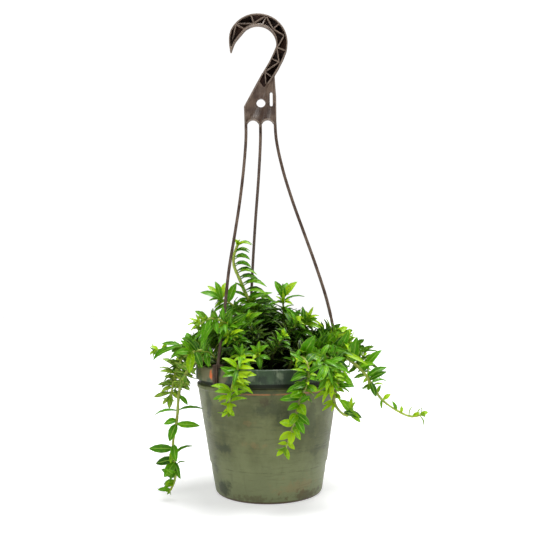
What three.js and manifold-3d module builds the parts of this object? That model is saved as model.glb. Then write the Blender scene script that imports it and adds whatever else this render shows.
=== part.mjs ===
// A trailing lipstick plant in a plastic nursery pot with a one-piece hanger.
// Millimetres, +Z up. The origin is the centre of the pot's base, and -Y is the front.
import * as THREE from "three";
import { mergeVertices } from "three/addons/utils/BufferGeometryUtils.js";
import Module from "manifold-3d";

const wasm = await Module();
wasm.setup();

// Driving dimensions of the pot.
const RIM_R = 83.7;
const RIM_TOP = 146.8;
const BAND_H = 15.5;
const GROOVE_H = 4.8;
const LIP_H = 5.5;
const WALL = 1.8;
const FOOT_WALL_R = 61.2;
const WALL_SLOPE = 0.166;
const CORNER_R = 5.5;
const POT_SIDES = 36;
const DRAIN_HOLES = 8;
const DRAIN_R = 4;
const DRAIN_CIRCLE_R = 32;
const CHANNEL_H = 2.5;

// Driving dimensions of the soil and the stems that stand in it.
const GAP = 0.3;
const SOIL_TOP = 131;
const ROOT_Z = 118;
const STEM_R = 1.3;
const HOLE_R = 3;
const END_MARGIN = 1.3;
const STEP_LENGTH = 15;
const FEWEST_STEPS = 6;

// Driving dimensions of the hanger.
const HOOK_CENTRE = [-7.6, 528.2];
const HOOK_R = 29.1;
const HOOK_HALF_WIDTH = 6.8;
const HOOK_HALF_DEPTH = 3.9;
const WEB_HALF_DEPTH = 0.9;
const FLANGE = 1.5;
const RIB_WIDTH = 1.4;
const RIB_HALF_DEPTH = 3.1;
const PLATE_HALF_DEPTH = 2.2;
const PLATE_BOTTOM = 431;
const ARCH_STEPS = 8;
const STRAND_R = 1.9;
const CLIP_ANGLES = { left: -41.5, back: -161.5, right: 78.5 };
const CLIP_HALF_WIDTH = 3.3;

// One closed geometry as a solid: only its positions are kept, and shared corners are merged.
function solidOf(geometry) {
  const plain = geometry.index ? geometry.toNonIndexed() : geometry.clone();
  for (const name of Object.keys(plain.attributes)) {
    if (name !== "position") plain.deleteAttribute(name);
  }
  const merged = mergeVertices(plain, 1e-4);
  return new wasm.Manifold(
    new wasm.Mesh({
      numProp: 3,
      vertProperties: new Float32Array(merged.attributes.position.array),
      triVerts: new Uint32Array(merged.index.array),
    }),
  );
}

// A solid as a named mesh of the scene.
function meshOf(name, solid, material) {
  const raw = solid.getMesh();
  const geometry = new THREE.BufferGeometry();
  geometry.setAttribute("position", new THREE.BufferAttribute(raw.vertProperties, 3));
  geometry.setIndex(new THREE.BufferAttribute(raw.triVerts, 1));
  const mesh = new THREE.Mesh(geometry.toNonIndexed(), material);
  mesh.geometry.computeVertexNormals();
  mesh.name = name;
  return mesh;
}

function join(solids) {
  return solids.reduce((whole, next) => whole.add(next));
}

// A profile of [radius, height] points turned round the Z axis.
function turned(profile, sides) {
  const points = profile.map(([r, z]) => new THREE.Vector2(r, z));
  return new THREE.LatheGeometry(points, sides).rotateX(Math.PI / 2);
}

// A flat outline of [x, z] points, thick to both sides of the XZ plane.
function slab(outline, halfDepth) {
  const shape = new THREE.Shape(outline.map(([x, z]) => new THREE.Vector2(x, z)));
  const made = new THREE.ExtrudeGeometry(shape, { depth: 2 * halfDepth, bevelEnabled: false });
  return solidOf(made.rotateX(Math.PI / 2).translate(0, halfDepth, 0));
}

// Points on an arc in the XZ plane, from one angle to the other in degrees.
function arc([cx, cz], r, from, to, steps) {
  return Array.from({ length: steps + 1 }, (_, i) => {
    const a = THREE.MathUtils.degToRad(from + ((to - from) * i) / steps);
    return [cx + r * Math.cos(a), cz + r * Math.sin(a)];
  });
}

// A straight bar in the XZ plane between two points.
function bar([x0, z0], [x1, z1], width, halfDepth) {
  const length = Math.hypot(x1 - x0, z1 - z0);
  const nx = ((z1 - z0) / length) * (width / 2);
  const nz = (-(x1 - x0) / length) * (width / 2);
  const outline = [
    [x0 - nx, z0 - nz],
    [x0 + nx, z0 + nz],
    [x1 + nx, z1 + nz],
    [x1 - nx, z1 - nz],
  ];
  return slab(outline, halfDepth);
}

// The outer radius of the pot's wall at a height.
function wallRadius(z) {
  return FOOT_WALL_R + WALL_SLOPE * z;
}

// The pot: a tapered wall on a ring foot, with a hollow band round its rim.
function buildPot() {
  const bandFoot = RIM_TOP - BAND_H;
  const lipTop = bandFoot - GROOVE_H;
  const lipFoot = lipTop - LIP_H;
  const corner = arc([wallRadius(CORNER_R) - CORNER_R, CORNER_R], CORNER_R, -90, 0, 3);
  const grooveR = wallRadius(lipFoot) - 1.2;
  const outside = [
    [0, 0],
    [19, 0],
    [21, CHANNEL_H],
    [43, CHANNEL_H],
    [45, 0],
    ...corner,
    [wallRadius(34), 34],
    [wallRadius(37) + 0.9, 37],
    [wallRadius(lipFoot), lipFoot],
    [wallRadius(lipFoot) + 1.1, lipFoot + 0.8],
    [wallRadius(lipFoot) + 1.1, lipTop - 0.6],
    [grooveR, lipTop],
    [grooveR, bandFoot + 9],
    [RIM_R - 1.7, bandFoot + 9],
    [RIM_R - 1.5, bandFoot],
    [RIM_R, bandFoot],
    [RIM_R, RIM_TOP - 1],
    [RIM_R - 0.9, RIM_TOP],
  ];
  const inside = [
    [RIM_R - 4.2, RIM_TOP],
    [RIM_R - 4.9, RIM_TOP - 0.8],
    [grooveR - WALL, lipTop],
    [wallRadius(lipFoot) - WALL, lipFoot - 4],
    [wallRadius(6) - WALL - 1.5, CHANNEL_H + WALL],
    [0, CHANNEL_H + WALL],
  ];
  let pot = solidOf(turned([...outside, ...inside], POT_SIDES));
  for (let i = 0; i < DRAIN_HOLES; i += 1) {
    const a = ((i + 0.5) * 2 * Math.PI) / DRAIN_HOLES;
    const hole = new THREE.CylinderGeometry(DRAIN_R, DRAIN_R, 12, 6).rotateX(Math.PI / 2);
    hole.translate(DRAIN_CIRCLE_R * Math.cos(a), DRAIN_CIRCLE_R * Math.sin(a), 3);
    pot = pot.subtract(solidOf(hole));
  }
  return pot;
}

// A small repeatable source of numbers from 0 to 1.
function randomFrom(seed) {
  let state = seed >>> 0;
  return () => {
    state = (Math.imul(state, 1664525) + 1013904223) >>> 0;
    return state / 4294967296;
  };
}

// The soil: a plug that fills the pot, with an uneven top and a hole for each stem.
function buildSoil(stems) {
  const floor = CHANNEL_H + WALL + GAP;
  const lipFoot = RIM_TOP - BAND_H - GROOVE_H - LIP_H;
  const edge = wallRadius(lipFoot) - 1.2 - WALL - GAP - 0.5;
  const plug = turned(
    [
      [0, floor],
      [wallRadius(6) - WALL - 1.5 - 2, floor],
      [wallRadius(lipFoot - 8) - WALL - 1.8, lipFoot - 8],
      [edge, SOIL_TOP - 2],
      [edge * 0.93, SOIL_TOP],
      [edge * 0.68, SOIL_TOP + 1.5],
      [edge * 0.35, SOIL_TOP + 2],
      [0, SOIL_TOP + 2],
    ],
    20,
  );
  const place = plug.attributes.position;
  for (let i = 0; i < place.count; i += 1) {
    const z = place.getZ(i);
    if (z < SOIL_TOP - 0.5) continue;
    const x = place.getX(i);
    const y = place.getY(i);
    place.setZ(i, z + 1.3 * Math.sin(0.21 * x + 0.4) * Math.cos(0.17 * y) + 0.8 * Math.sin(0.43 * y - 0.2 * x));
  }
  let soil = solidOf(plug);
  for (const { route } of stems) {
    const [x, y] = route[0];
    const hole = new THREE.CylinderGeometry(HOLE_R, HOLE_R, 30, 4).rotateX(Math.PI / 2);
    soil = soil.subtract(solidOf(hole.translate(x, y, ROOT_Z - 1.5 + 15)));
  }
  return soil;
}

// The hook's middle line from its tip to the plate, as points with a half width at each.
function hookRibbon() {
  const ring = arc(HOOK_CENTRE, HOOK_R, 146, -16, 13).map((p) => [...p, HOOK_HALF_WIDTH]);
  return [
    [-39.9, 518.4, 0.9],
    [-39.8, 521, 1.4],
    [-39.4, 524.5, 2.3],
    [-38.8, 528.6, 3.2],
    [-38, 532.8, 4.2],
    [-36.9, 537, 5.1],
    [-35, 541.4, 6],
    ...ring,
    [17, 512, 6.9],
    [11.5, 501, 6.8],
    [4.6, 489.5, 6.8],
  ];
}

// The two sides of a ribbon, moved in by a margin, as one closed outline.
function ribbonOutline(ribbon, margin) {
  const left = [];
  const right = [];
  ribbon.forEach(([x, z, w], i) => {
    const [ax, az] = ribbon[Math.max(0, i - 1)];
    const [bx, bz] = ribbon[Math.min(ribbon.length - 1, i + 1)];
    const length = Math.hypot(bx - ax, bz - az);
    const half = Math.max(0.3, w - margin);
    const nx = (-(bz - az) / length) * half;
    const nz = ((bx - ax) / length) * half;
    left.push([x + nx, z + nz]);
    right.push([x - nx, z - nz]);
  });
  return [...left, ...right.reverse()];
}

// The zigzag ribs of the hook, from the tip to the plate: [start, end] in the XZ plane.
const HOOK_RIBS = [
  [[-38.6, 526.6], [-33.4, 551.6]],
  [[-33, 551], [-26.8, 547.4]],
  [[-33, 552], [-17.6, 554.6]],
  [[-15.4, 562.6], [-12.4, 554.2]],
  [[-12.4, 554.2], [1.6, 560.6]],
  [[2.6, 559.6], [-0.4, 552.8]],
  [[3.4, 559.8], [10.6, 545.6]],
  [[11.4, 545.4], [18.4, 551.2]],
  [[11.4, 544.6], [24.2, 537]],
  [[24.2, 536.6], [16, 522.6]],
  [[15.4, 522.4], [24.4, 518.8]],
  [[15.4, 521.4], [17.6, 504.6]],
  [[9.4, 508.8], [17.2, 504.6]],
  [[17.4, 504.2], [0.4, 492.8]],
  [[0.4, 492.4], [8.2, 487.4]],
  [[0.6, 491.6], [1.8, 478.2]],
];

// The hook: a solid ribbon with a pocket in each face, and ribs across the web between them.
function buildHook() {
  const ribbon = hookRibbon();
  const tail = [0.6, 480, 4.6];
  let hook = slab(ribbonOutline([...ribbon, tail], 0), HOOK_HALF_DEPTH);
  const pocketEnd = [1.4, 478.5, 2];
  const pocket = ribbonOutline([...ribbon.slice(2), pocketEnd], FLANGE);
  const depth = HOOK_HALF_DEPTH - WEB_HALF_DEPTH;
  const pocketSolid = slab(pocket, depth);
  const shift = WEB_HALF_DEPTH + depth;
  hook = hook.subtract(pocketSolid.translate([0, -shift, 0]));
  hook = hook.subtract(pocketSolid.translate([0, shift, 0]));
  const ribs = HOOK_RIBS.map(([a, b]) => bar(a, b, RIB_WIDTH, RIB_HALF_DEPTH));
  return join([hook, ...ribs]);
}

// The plate under the hook: a kite outline with a hanging hole, a slot, and two arches below.
function buildPlate() {
  const left = -24.6;
  const right = 13.9;
  const outline = [
    [left + 0.2, PLATE_BOTTOM],
    [right - 0.1, PLATE_BOTTOM],
    [right, 462],
    [12.2, 489],
    [9.6, 492.6],
    [-2.4, 492],
    [-9.2, 480],
    [-24.8, 451.4],
  ];
  let plate = slab(outline, PLATE_HALF_DEPTH);
  plate = plate.add(bar([right - 0.8, PLATE_BOTTOM], [right - 0.7, 462], 1.4, PLATE_HALF_DEPTH + 0.6));
  plate = plate.add(bar([right - 0.8, 461.5], [11.6, 489], 1.4, PLATE_HALF_DEPTH + 0.6));
  plate = plate.add(bar([left + 0.9, PLATE_BOTTOM], [left + 0.7, 451.3], 1.4, PLATE_HALF_DEPTH + 0.6));
  plate = plate.add(bar([left + 0.9, 451], [-1.9, 491], 1.4, PLATE_HALF_DEPTH + 0.6));
  const through = 10;
  const archZ = 428.4;
  for (const x of [-14.3, 3.2]) {
    const rim = [...arc([x, archZ], 8.4, 0, 180, ARCH_STEPS), ...arc([x, archZ], 7, 180, 0, ARCH_STEPS)];
    plate = plate.add(slab(rim, PLATE_HALF_DEPTH + 0.6));
  }
  for (const x of [-14.3, 3.2]) {
    const arch = [...arc([x, archZ], 7, 0, 180, ARCH_STEPS), [x - 7, 415], [x + 7, 415]];
    plate = plate.subtract(slab(arch, through));
  }
  const below = [
    [-40, 400],
    [40, 400],
    [40, PLATE_BOTTOM],
    [-40, PLATE_BOTTOM],
  ];
  plate = plate.subtract(slab(below, through));
  plate = plate.subtract(slab(arc([-4.5, 455.6], 5.4, 0, 330, 11), through));
  const slot = [...arc([7.9, 467.5], 2, 0, 180, 4), ...arc([7.9, 453], 2, 180, 360, 4)];
  plate = plate.subtract(slab(slot, through));
  const gate = new THREE.CylinderGeometry(1.1, 1.3, 1.6, 6).translate(0, PLATE_HALF_DEPTH + 0.3, 0);
  return plate.add(solidOf(gate.rotateX(Math.PI).translate(-5.2, 0, 446)));
}

// The strands' middle lines, from the plate down to the clips on the rim.
const STRAND_ROUTES = {
  left: [
    [-22.7, 0, 434], [-22.8, -2, 413], [-25.6, -10, 375], [-30.2, -18, 335], [-36.4, -28, 293],
    [-42.3, -36, 256], [-46.8, -46, 213], [-50.2, -53, 182], [-53, -59.6, 158], [-54, -61.4, 149],
  ],
  back: [
    [-5.4, 0, 434], [-5.5, 2, 413], [-8.1, 13, 372], [-13.3, 30, 314], [-17.4, 46, 260],
    [-21.2, 64, 202], [-24.6, 74.6, 162], [-25.8, 77.6, 149],
  ],
  right: [
    [12, 0, 434], [13.4, -1, 411], [20.5, -3.6, 375], [32, -7, 335], [44.2, -9.6, 299],
    [58, -12.6, 258], [69.6, -14.6, 219], [77.2, -15.8, 182], [80, -16.2, 160], [80.4, -16.4, 149],
  ],
};

function curveOf(points) {
  return new THREE.CatmullRomCurve3(points.map((p) => new THREE.Vector3(...p)), false, "centripetal");
}

// The straight stretches that a tube with a number of steps makes of a curve.
function lineOf(curve, steps) {
  const points = curve.getSpacedPoints(steps);
  const last = 1 - END_MARGIN / curve.getLength();
  const stretch = (at) => {
    const place = Math.min(at, last) * steps;
    const whole = Math.floor(place);
    return [points[whole], points[whole + 1], place - whole];
  };
  return {
    pointAt: (at) => {
      const [a, b, part] = stretch(at);
      return a.clone().lerp(b, part);
    },
    tangentAt: (at) => {
      const [a, b] = stretch(at);
      return b.clone().sub(a).normalize();
    },
  };
}

// A round bar with a few sides along a curve.
function tube(curve, radius, sides, steps) {
  const section = new THREE.Shape();
  for (let i = 0; i < sides; i += 1) {
    const a = (i * 2 * Math.PI) / sides;
    if (i === 0) section.moveTo(radius, 0);
    else section.lineTo(radius * Math.cos(a), radius * Math.sin(a));
  }
  const options = { steps, extrudePath: curve, bevelEnabled: false };
  return solidOf(new THREE.ExtrudeGeometry(section, options));
}

// A box given by its lowest and highest corners.
function block([x0, y0, z0], [x1, y1, z1]) {
  const made = new THREE.BoxGeometry(x1 - x0, y1 - y0, z1 - z0);
  return made.translate((x0 + x1) / 2, (y0 + y1) / 2, (z0 + z1) / 2);
}

// A clip over the rim: an outside finger with two grooves, a bridge and a short inside finger.
function buildClip(degrees) {
  const w = CLIP_HALF_WIDTH;
  const out = RIM_R + GAP;
  const inner = RIM_R - 4.9 - GAP - 0.4;
  const top = RIM_TOP + 4.2;
  const pieces = [
    block([out, -w, RIM_TOP - BAND_H - 0.4], [out + 2.4, w, top]),
    block([inner - 2, -w, RIM_TOP + GAP], [out + 2.4, w, top]),
    block([inner - 2, -w, RIM_TOP - 11], [inner, w, top]),
  ];
  let clip = join(pieces.map(solidOf));
  for (const side of [-1.1, 1.1]) {
    const groove = block([out + 1.5, side - 0.45, 100], [out + 5, side + 0.45, top - 1.5]);
    clip = clip.subtract(solidOf(groove));
  }
  return clip.rotate([0, 0, degrees - 90]);
}

function buildHanger() {
  const strands = Object.values(STRAND_ROUTES).map((route) => tube(curveOf(route), STRAND_R, 6, 14));
  const clips = Object.values(CLIP_ANGLES).map(buildClip);
  return join([buildHook(), buildPlate(), ...strands, ...clips]);
}

// Leafy stems. A route starts at a hole in the soil, [x, y], and goes on as points [x, y, z].
// pairs are placed by rule along the upper part. singles are leaves of their own:
// [place along the stem from 0 to 1, tip x, tip y, tip z, width, lean of the face to the front in degrees].
const STEMS = [
  {
    name: "stem_left_trailing",
    route: [
      [-52, -14], [-70, -22, 152], [-84, -26, 150], [-91, -28, 141], [-98, -29, 128], [-101, -30, 110],
      [-102, -30, 95], [-104, -31, 78], [-107, -32, 62], [-106, -32, 46], [-104, -33, 27],
      [-108, -33, 13], [-112, -33, 7],
    ],
    singles: [
      [0.36, -98, -36, 123, 9, 60], [0.48, -90, -33, 104, 6, 40], [0.56, -73, -30, 100, 5, 5],
      [0.56, -129, -30, 94, 5, 5], [0.63, -77, -33, 81, 8, 80], [0.63, -110, -40, 65, 10, 60],
      [0.76, -134, -34, 56, 10, 80], [0.8, -86, -32, 60, 6, 20], [0.82, -126, -36, 40, 10, 60],
      [0.85, -94, -33, 42, 4, 0], [0.83, -99, -39, 24, 7, 70], [0.91, -119, -37, 34, 9, 60],
      [0.93, -117, -36, 17, 6, 60], [0.98, -124, -35, 11, 5, 70], [0.74, -102, -44, 44, 9, 70],
      [0.87, -109, -43, 24, 7, 70],
    ],
  },
  {
    name: "stem_left_tuft",
    route: [
      [-50, 8], [-72, 8, 158], [-86, 9, 160], [-98, 9, 155], [-106, 8, 144], [-111, 6, 130],
      [-113, 4, 115], [-115, 3, 106],
    ],
    singles: [
      [0.77, -129, 9, 144, 4, 30], [0.78, -127, 3, 139, 6, 40], [0.72, -124, 6, 154, 7, 40],
      [0.72, -99, 5, 141, 7, 50], [0.88, -130, 5, 123, 6, 50], [0.9, -125, -1, 115, 6, 50],
      [0.95, -135, 4, 108, 6, 60], [0.95, -116, 1, 94, 7, 70], [0.86, -101, 1, 117, 6, 60],
      [0.82, -121, 0, 133, 6, 50], [0.94, -105, 0, 106, 5, 60], [0.81, -99, 3, 131, 6, 50],
      [0.98, -125, 4, 99, 5, 60],
    ],
  },
  {
    name: "stem_left_shoulder",
    route: [[-40, 22], [-60, 23, 162], [-94, 30, 168], [-113, 32, 165], [-128, 34, 162], [-138, 35, 160]],
    singles: [
      [0.85, -140, 27, 151, 9, 40], [0.9, -128, 34, 167, 7, 50], [0.81, -114, 38, 172, 8, 50],
      [0.76, -105, 23, 150, 8, 50], [0.97, -143, 35, 166, 5, 50], [0.99, -145, 35, 155, 4, 50],
      [0.66, -99, 35, 182, 9, 50], [0.66, -110, 20, 148, 9, 50], [0.55, -78, 14, 150, 9, 50],
      [0.55, -80, 38, 182, 9, 20], [0.72, -96, 46, 160, 8, 10],
    ],
  },
  { name: "stem_left_bright", route: [[-36, -24], [-39, -46, 183], [-50, -61, 199], [-62, -63, 201], [-75, -62, 194]], pairs: 8, size: 26 },
  {
    name: "stem_upper_left",
    route: [[-22, -4], [-20, -4, 185], [-32, -4, 207], [-46, -5, 219], [-54, -6, 222]],
    singles: [
      [0.99, -77, -8, 232, 9, 50], [0.99, -60, -8, 243, 8, 60], [0.92, -36, -7, 241, 10, 60],
      [0.97, -67, -12, 222, 6, 30], [0.95, -61, -13, 213, 6, 30], [0.99, -48, 4, 243, 9, 60],
      [1, -70, 0, 239, 7, 50], [0.86, -56, -2, 206, 8, 30], [0.78, -12, -12, 218, 8, 50],
      [0.72, -46, 6, 196, 9, 20], [0.66, -2, 2, 202, 8, 30],
    ],
  },
  {
    name: "stem_comb",
    route: [[-6, 6], [-6, 6, 185], [-17, 4, 211], [-25, 3, 228], [-31, 2, 243], [-38, 1, 260], [-39, 0, 268], [-37, 0, 278], [-33, 0, 288]],
    pairs: 13,
    from: 0.42,
    size: 36,
    comb: true,
  },
  {
    name: "stem_star",
    route: [[14, 8], [18, 8, 185], [20, 6, 206], [19, 5, 218], [19, 5, 225]],
    singles: [
      [0.99, 10, 3, 243, 9, 60], [0.99, 35, 3, 243, 9, 60], [0.97, 25, 16, 242, 9, 60],
      [0.97, 19, -8, 238, 8, 60], [0.94, 45, 7, 226, 6, 20], [0.88, 31, -9, 191, 10, 50],
      [0.85, 2, 0, 206, 6, 30], [0.92, 0, 9, 216, 5, 20], [0.93, 9, -5, 217, 5, 40],
      [0.93, 30, -5, 216, 5, 40], [0.78, 40, 14, 200, 9, 20], [0.72, -4, 20, 194, 9, 0],
      [0.64, 36, -2, 176, 9, 40],
    ],
  },
  { name: "stem_bud", route: [[24, -4], [33, -12, 176], [43, -16, 191], [48, -18, 200]], pairs: 8, size: 25 },
  { name: "stem_right_high", route: [[34, 8], [56, 2, 165], [71, -4, 174], [84, -9, 177], [95, -12, 172]], pairs: 7, size: 31 },
  {
    name: "stem_right_trailing",
    route: [
      [46, -26], [58, -32, 158], [72, -38, 163], [84, -42, 158], [97, -44, 148], [108, -44, 137],
      [116, -44, 124], [126, -44, 109], [142, -44, 97], [158, -44, 90], [171, -44, 92],
    ],
    singles: [
      [0.46, 98, -52, 178, 11, 60], [0.54, 123, -54, 165, 10, 45], [0.51, 115, -60, 151, 8, 50],
      [0.58, 132, -44, 146, 8, 50], [0.6, 130, -54, 141, 7, 60], [0.62, 133, -38, 130, 5, 30],
      [0.64, 126, -52, 128, 4, 30], [0.61, 119, -50, 113, 7, 60], [0.69, 125, -44, 125, 4, 40],
      [0.74, 136, -44, 115, 5, 60], [0.73, 125, -46, 99, 3, 0], [0.84, 138, -44, 107, 4, 60],
      [0.87, 147, -46, 102, 4, 60], [0.92, 159, -44, 101, 3, 0], [0.97, 168, -44, 99, 3, 0],
      [0.98, 173, -44, 80, 3, 0], [0.99, 177, -44, 95, 5, 60], [0.94, 167, -49, 95, 4, 60],
      [0.4, 74, -52, 148, 9, 50], [0.4, 84, -26, 172, 9, 20],
    ],
  },
  {
    name: "stem_right_cluster",
    route: [[40, -40], [55, -60, 157], [63, -72, 152], [67, -80, 138], [66, -83, 125]],
    singles: [[0.78, 93, -76, 128, 9, 50], [0.7, 88, -80, 143, 8, 40]],
    pairs: 9,
    size: 21,
    from: 0.36,
  },
  {
    name: "stem_right_bare",
    route: [
      [52, -38], [66, -52, 156], [74, -62, 152], [76, -70, 138], [72, -73, 122], [70, -73, 113],
      [74, -71, 104], [80, -70, 98], [86, -69, 96], [88, -69, 102],
    ],
    singles: [
      [0.92, 100, -73, 95, 8, 60], [0.99, 76, -75, 114, 9, 60], [0.97, 98, -75, 90, 7, 60],
      [1, 90, -69, 116, 4, 50], [1, 94, -67, 111, 3, 40], [0.42, 86, -72, 146, 7, 50],
      [0.36, 58, -74, 158, 8, 50],
    ],
  },
  { name: "stem_right_low", route: [[36, -18], [57, -30, 164], [75, -37, 172], [90, -42, 171]], pairs: 6, size: 30 },
  {
    name: "stem_front_right",
    route: [
      [22, -50], [30, -62, 157], [39, -78, 157], [43, -88, 147], [41, -92, 134], [34, -92, 119],
      [30, -91, 106], [26, -90, 90], [21, -88, 74], [17, -87, 65],
    ],
    singles: [
      [0.5, 24, -97, 139, 9, 50], [0.5, 56, -95, 152, 7, 50], [0.58, 19, -96, 126, 8, 50],
      [0.58, 52, -96, 126, 7, 50], [0.66, 12, -96, 118, 8, 60], [0.69, 43, -97, 121, 6, 60],
      [0.7, 38, -101, 103, 9, 70], [0.7, 20, -101, 108, 7, 70], [0.76, 43, -93, 91, 8, 70],
      [0.76, 22, -101, 93, 9, 80], [0.79, 37, -97, 83, 8, 70], [0.83, 12, -92, 94, 8, 70],
      [0.84, 33, -94, 76, 6, 70], [0.88, 11, -92, 76, 7, 75], [0.88, 23, -96, 72, 8, 80],
      [0.95, 27, -92, 66, 5, 70], [0.96, 10, -92, 72, 4, 60], [0.99, 8, -90, 59, 5, 70],
      [0.99, 21, -91, 55, 5, 70], [0.42, 24, -82, 165, 8, 50], [0.42, 52, -72, 164, 8, 40],
    ],
  },
  {
    name: "stem_front_left",
    route: [[-32, -46], [-27, -62, 160], [-28, -78, 160], [-31, -88, 150], [-35, -91, 139], [-38, -92, 128], [-40, -91, 116], [-41, -90, 105]],
    singles: [
      [0.63, -46, -94, 162, 8, 40], [0.7, -48, -99, 152, 9, 60], [0.59, -12, -92, 158, 6, 30],
      [0.64, -15, -98, 151, 6, 50], [0.69, -12, -99, 144, 8, 60], [0.73, -20, -102, 135, 7, 70],
      [0.77, -15, -96, 125, 7, 50], [0.83, -58, -97, 134, 8, 50], [0.84, -54, -103, 128, 6, 60],
      [0.88, -57, -94, 119, 6, 50], [0.88, -51, -102, 120, 6, 60], [0.89, -21, -99, 128, 6, 50],
      [0.92, -22, -93, 120, 5, 40], [0.95, -49, -94, 114, 4, 50], [0.97, -48, -93, 100, 5, 70],
      [0.98, -35, -93, 101, 5, 70], [0.95, -33, -95, 112, 4, 60],
    ],
  },
  {
    name: "stem_centre_small",
    route: [[-8, -42], [-9, -54, 155], [-10, -64, 164]],
    singles: [
      [0.87, -31, -65, 164, 6, 50], [0.87, 3, -65, 157, 6, 50], [0.87, -8, -69, 147, 7, 60],
      [0.98, 1, -66, 172, 6, 50], [0.94, -18, -66, 172, 6, 50], [0.99, -9, -69, 176, 5, 60],
      [0.7, 8, -58, 164, 6, 40], [0.66, -24, -58, 152, 7, 40],
    ],
  },
  {
    name: "stem_front_large_leaf",
    route: [[26, -34], [36, -50, 154], [41, -60, 162]],
    singles: [
      [0.92, 50, -60, 181, 14, 70], [0.82, 24, -60, 166, 8, 50], [0.94, 56, -62, 156, 8, 50],
      [0.76, 20, -56, 152, 6, 50], [0.9, 36, -48, 178, 8, 60], [0.7, 52, -46, 164, 8, 40],
      [0.97, 38, -74, 166, 7, 50],
    ],
  },
  {
    name: "stem_left_low",
    route: [[-50, -32], [-61, -46, 160], [-73, -52, 166], [-84, -56, 164]],
    singles: [
      [1, -84, -66, 142, 10, 60], [0.93, -71, -66, 149, 9, 60], [1, -100, -60, 165, 9, 60],
      [0.86, -86, -48, 177, 9, 60], [0.76, -64, -62, 149, 8, 60], [0.8, -62, -55, 180, 8, 60],
      [0.99, -92, -66, 178, 7, 50], [0.72, -78, -38, 160, 8, 20],
    ],
  },
  { name: "stem_mid_left", route: [[-24, -30], [-26, -44, 165], [-34, -54, 176], [-42, -63, 183]], pairs: 7, size: 24 },
  { name: "stem_mid", route: [[-4, -20], [-13, -28, 170], [-17, -36, 187], [-22, -42, 201]], pairs: 7, size: 26 },
  { name: "stem_mid_right", route: [[12, -12], [19, -22, 169], [26, -30, 184], [34, -36, 195]], pairs: 7, size: 27 },
  { name: "stem_inner", route: [[4, 22], [2, 21, 184], [0, 24, 206], [-4, 26, 220]], pairs: 7, size: 26 },
  { name: "stem_front_mid", route: [[2, -34], [6, -44, 158], [12, -52, 172], [18, -60, 181]], pairs: 6, size: 22 },
];

// The stems at the back, which lean out all round it: [name, direction in degrees from +X,
// distance of the hole from the axis, height of the crest, reach of the tip, height of the tip].
const BACK_STEMS = [
  ["stem_back_a", 8, 52, 168, 122, 116],
  ["stem_back_b", 27, 40, 174, 102, 152],
  ["stem_back_c", 42, 56, 170, 116, 98],
  ["stem_back_d", 60, 34, 186, 82, 178],
  ["stem_back_e", 72, 54, 176, 118, 140],
  ["stem_back_f", 90, 42, 196, 98, 178],
  ["stem_back_g", 104, 58, 168, 114, 84],
  ["stem_back_h", 120, 40, 200, 90, 204],
  ["stem_back_i", 136, 54, 178, 122, 134],
  ["stem_back_j", 150, 38, 182, 96, 166],
  ["stem_back_k", 171, 56, 163, 112, 112],
];

for (const [name, degrees, hole, crest, reach, tip] of BACK_STEMS) {
  const a = THREE.MathUtils.degToRad(degrees);
  const at = (r, z) => [Math.round(r * Math.cos(a)), Math.round(r * Math.sin(a)), z];
  const route = [at(hole, 0).slice(0, 2), at(hole + 10, crest - 14), at((hole + reach) / 2 + 4, crest), at(reach - 4, (crest + tip) / 2 + 6), at(reach, tip)];
  STEMS.push({ name, route, pairs: 7, size: 28 });
}

// The leaf: a three-sided spindle, [half width, place along the leaf]. Two of its corners are
// the leaf's edges, and the third is the keel of its midrib underneath.
const LARGE_BLADE = [
  [0, 0],
  [0.62, 0.2],
  [1, 0.46],
  [0.66, 0.78],
  [0, 1],
];
const BLADE = [
  [0, 0],
  [0.9, 0.3],
  [0.84, 0.64],
  [0, 1],
];
const SMALL_BLADE = [
  [0, 0],
  [1, 0.42],
  [0, 1],
];
const LARGE_LEAF = 31;
const SMALL_LEAF = 13;
const KEEL = 1.3;
const UP = new THREE.Vector3(0, 0, 1);

// Bends a spindle of the profile into the leaf, whose middle line arches towards its face.
function bladeSolid(leaf, profile, extra) {
  const points = profile.map(([w, t]) => new THREE.Vector2(w, t));
  const geometry = new THREE.LatheGeometry(points, 3);
  const place = geometry.attributes.position;
  for (let i = 0; i < place.count; i += 1) {
    const x = place.getX(i);
    const t = place.getY(i);
    const w = Math.hypot(x, place.getZ(i));
    const isKeel = Math.abs(x) < 0.1 * w;
    const across = isKeel ? 0 : Math.sign(x) * (w * leaf.width / 2 + extra);
    const arch = leaf.length * leaf.arch * 4 * t * (1 - t);
    const p = leaf.base.clone();
    p.addScaledVector(leaf.along, leaf.length * t);
    p.addScaledVector(leaf.side, w > 0 ? across : 0);
    p.addScaledVector(leaf.face, isKeel ? arch - KEEL * Math.sqrt(w) - extra : arch + extra);
    place.setXYZ(i, p.x, p.y, p.z);
  }
  return solidOf(geometry);
}

// The part of a leaf past a place along it, a little fat, to test that it is clear of others.
function outerBlade(leaf, from) {
  const profile = [
    [0, from],
    [0.9, Math.max(0.3, from + 0.1)],
    [1, 0.5],
    [0.7, 0.8],
    [0, 1.01],
  ];
  return bladeSolid(leaf, profile, GAP);
}

// A leaf from its root on the stem to its tip, with the face turned as near to hint as it goes.
function leafBetween(base, tip, width, hint, arch) {
  const along = tip.clone().sub(base);
  const length = along.length();
  along.normalize();
  const face = hint.clone().addScaledVector(along, -hint.dot(along));
  if (face.length() < 0.1) face.set(1, 0, 0).addScaledVector(along, -along.x);
  face.normalize();
  const side = face.clone().cross(along);
  return { base, along, face, side, length, width, arch };
}

function singleLeaf(line, [at, x, y, z, width, lean]) {
  const a = THREE.MathUtils.degToRad(lean);
  const hint = new THREE.Vector3(0, -Math.sin(a), Math.cos(a));
  return leafBetween(line.pointAt(at), new THREE.Vector3(x, y, z), width, hint, 0.1);
}

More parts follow.
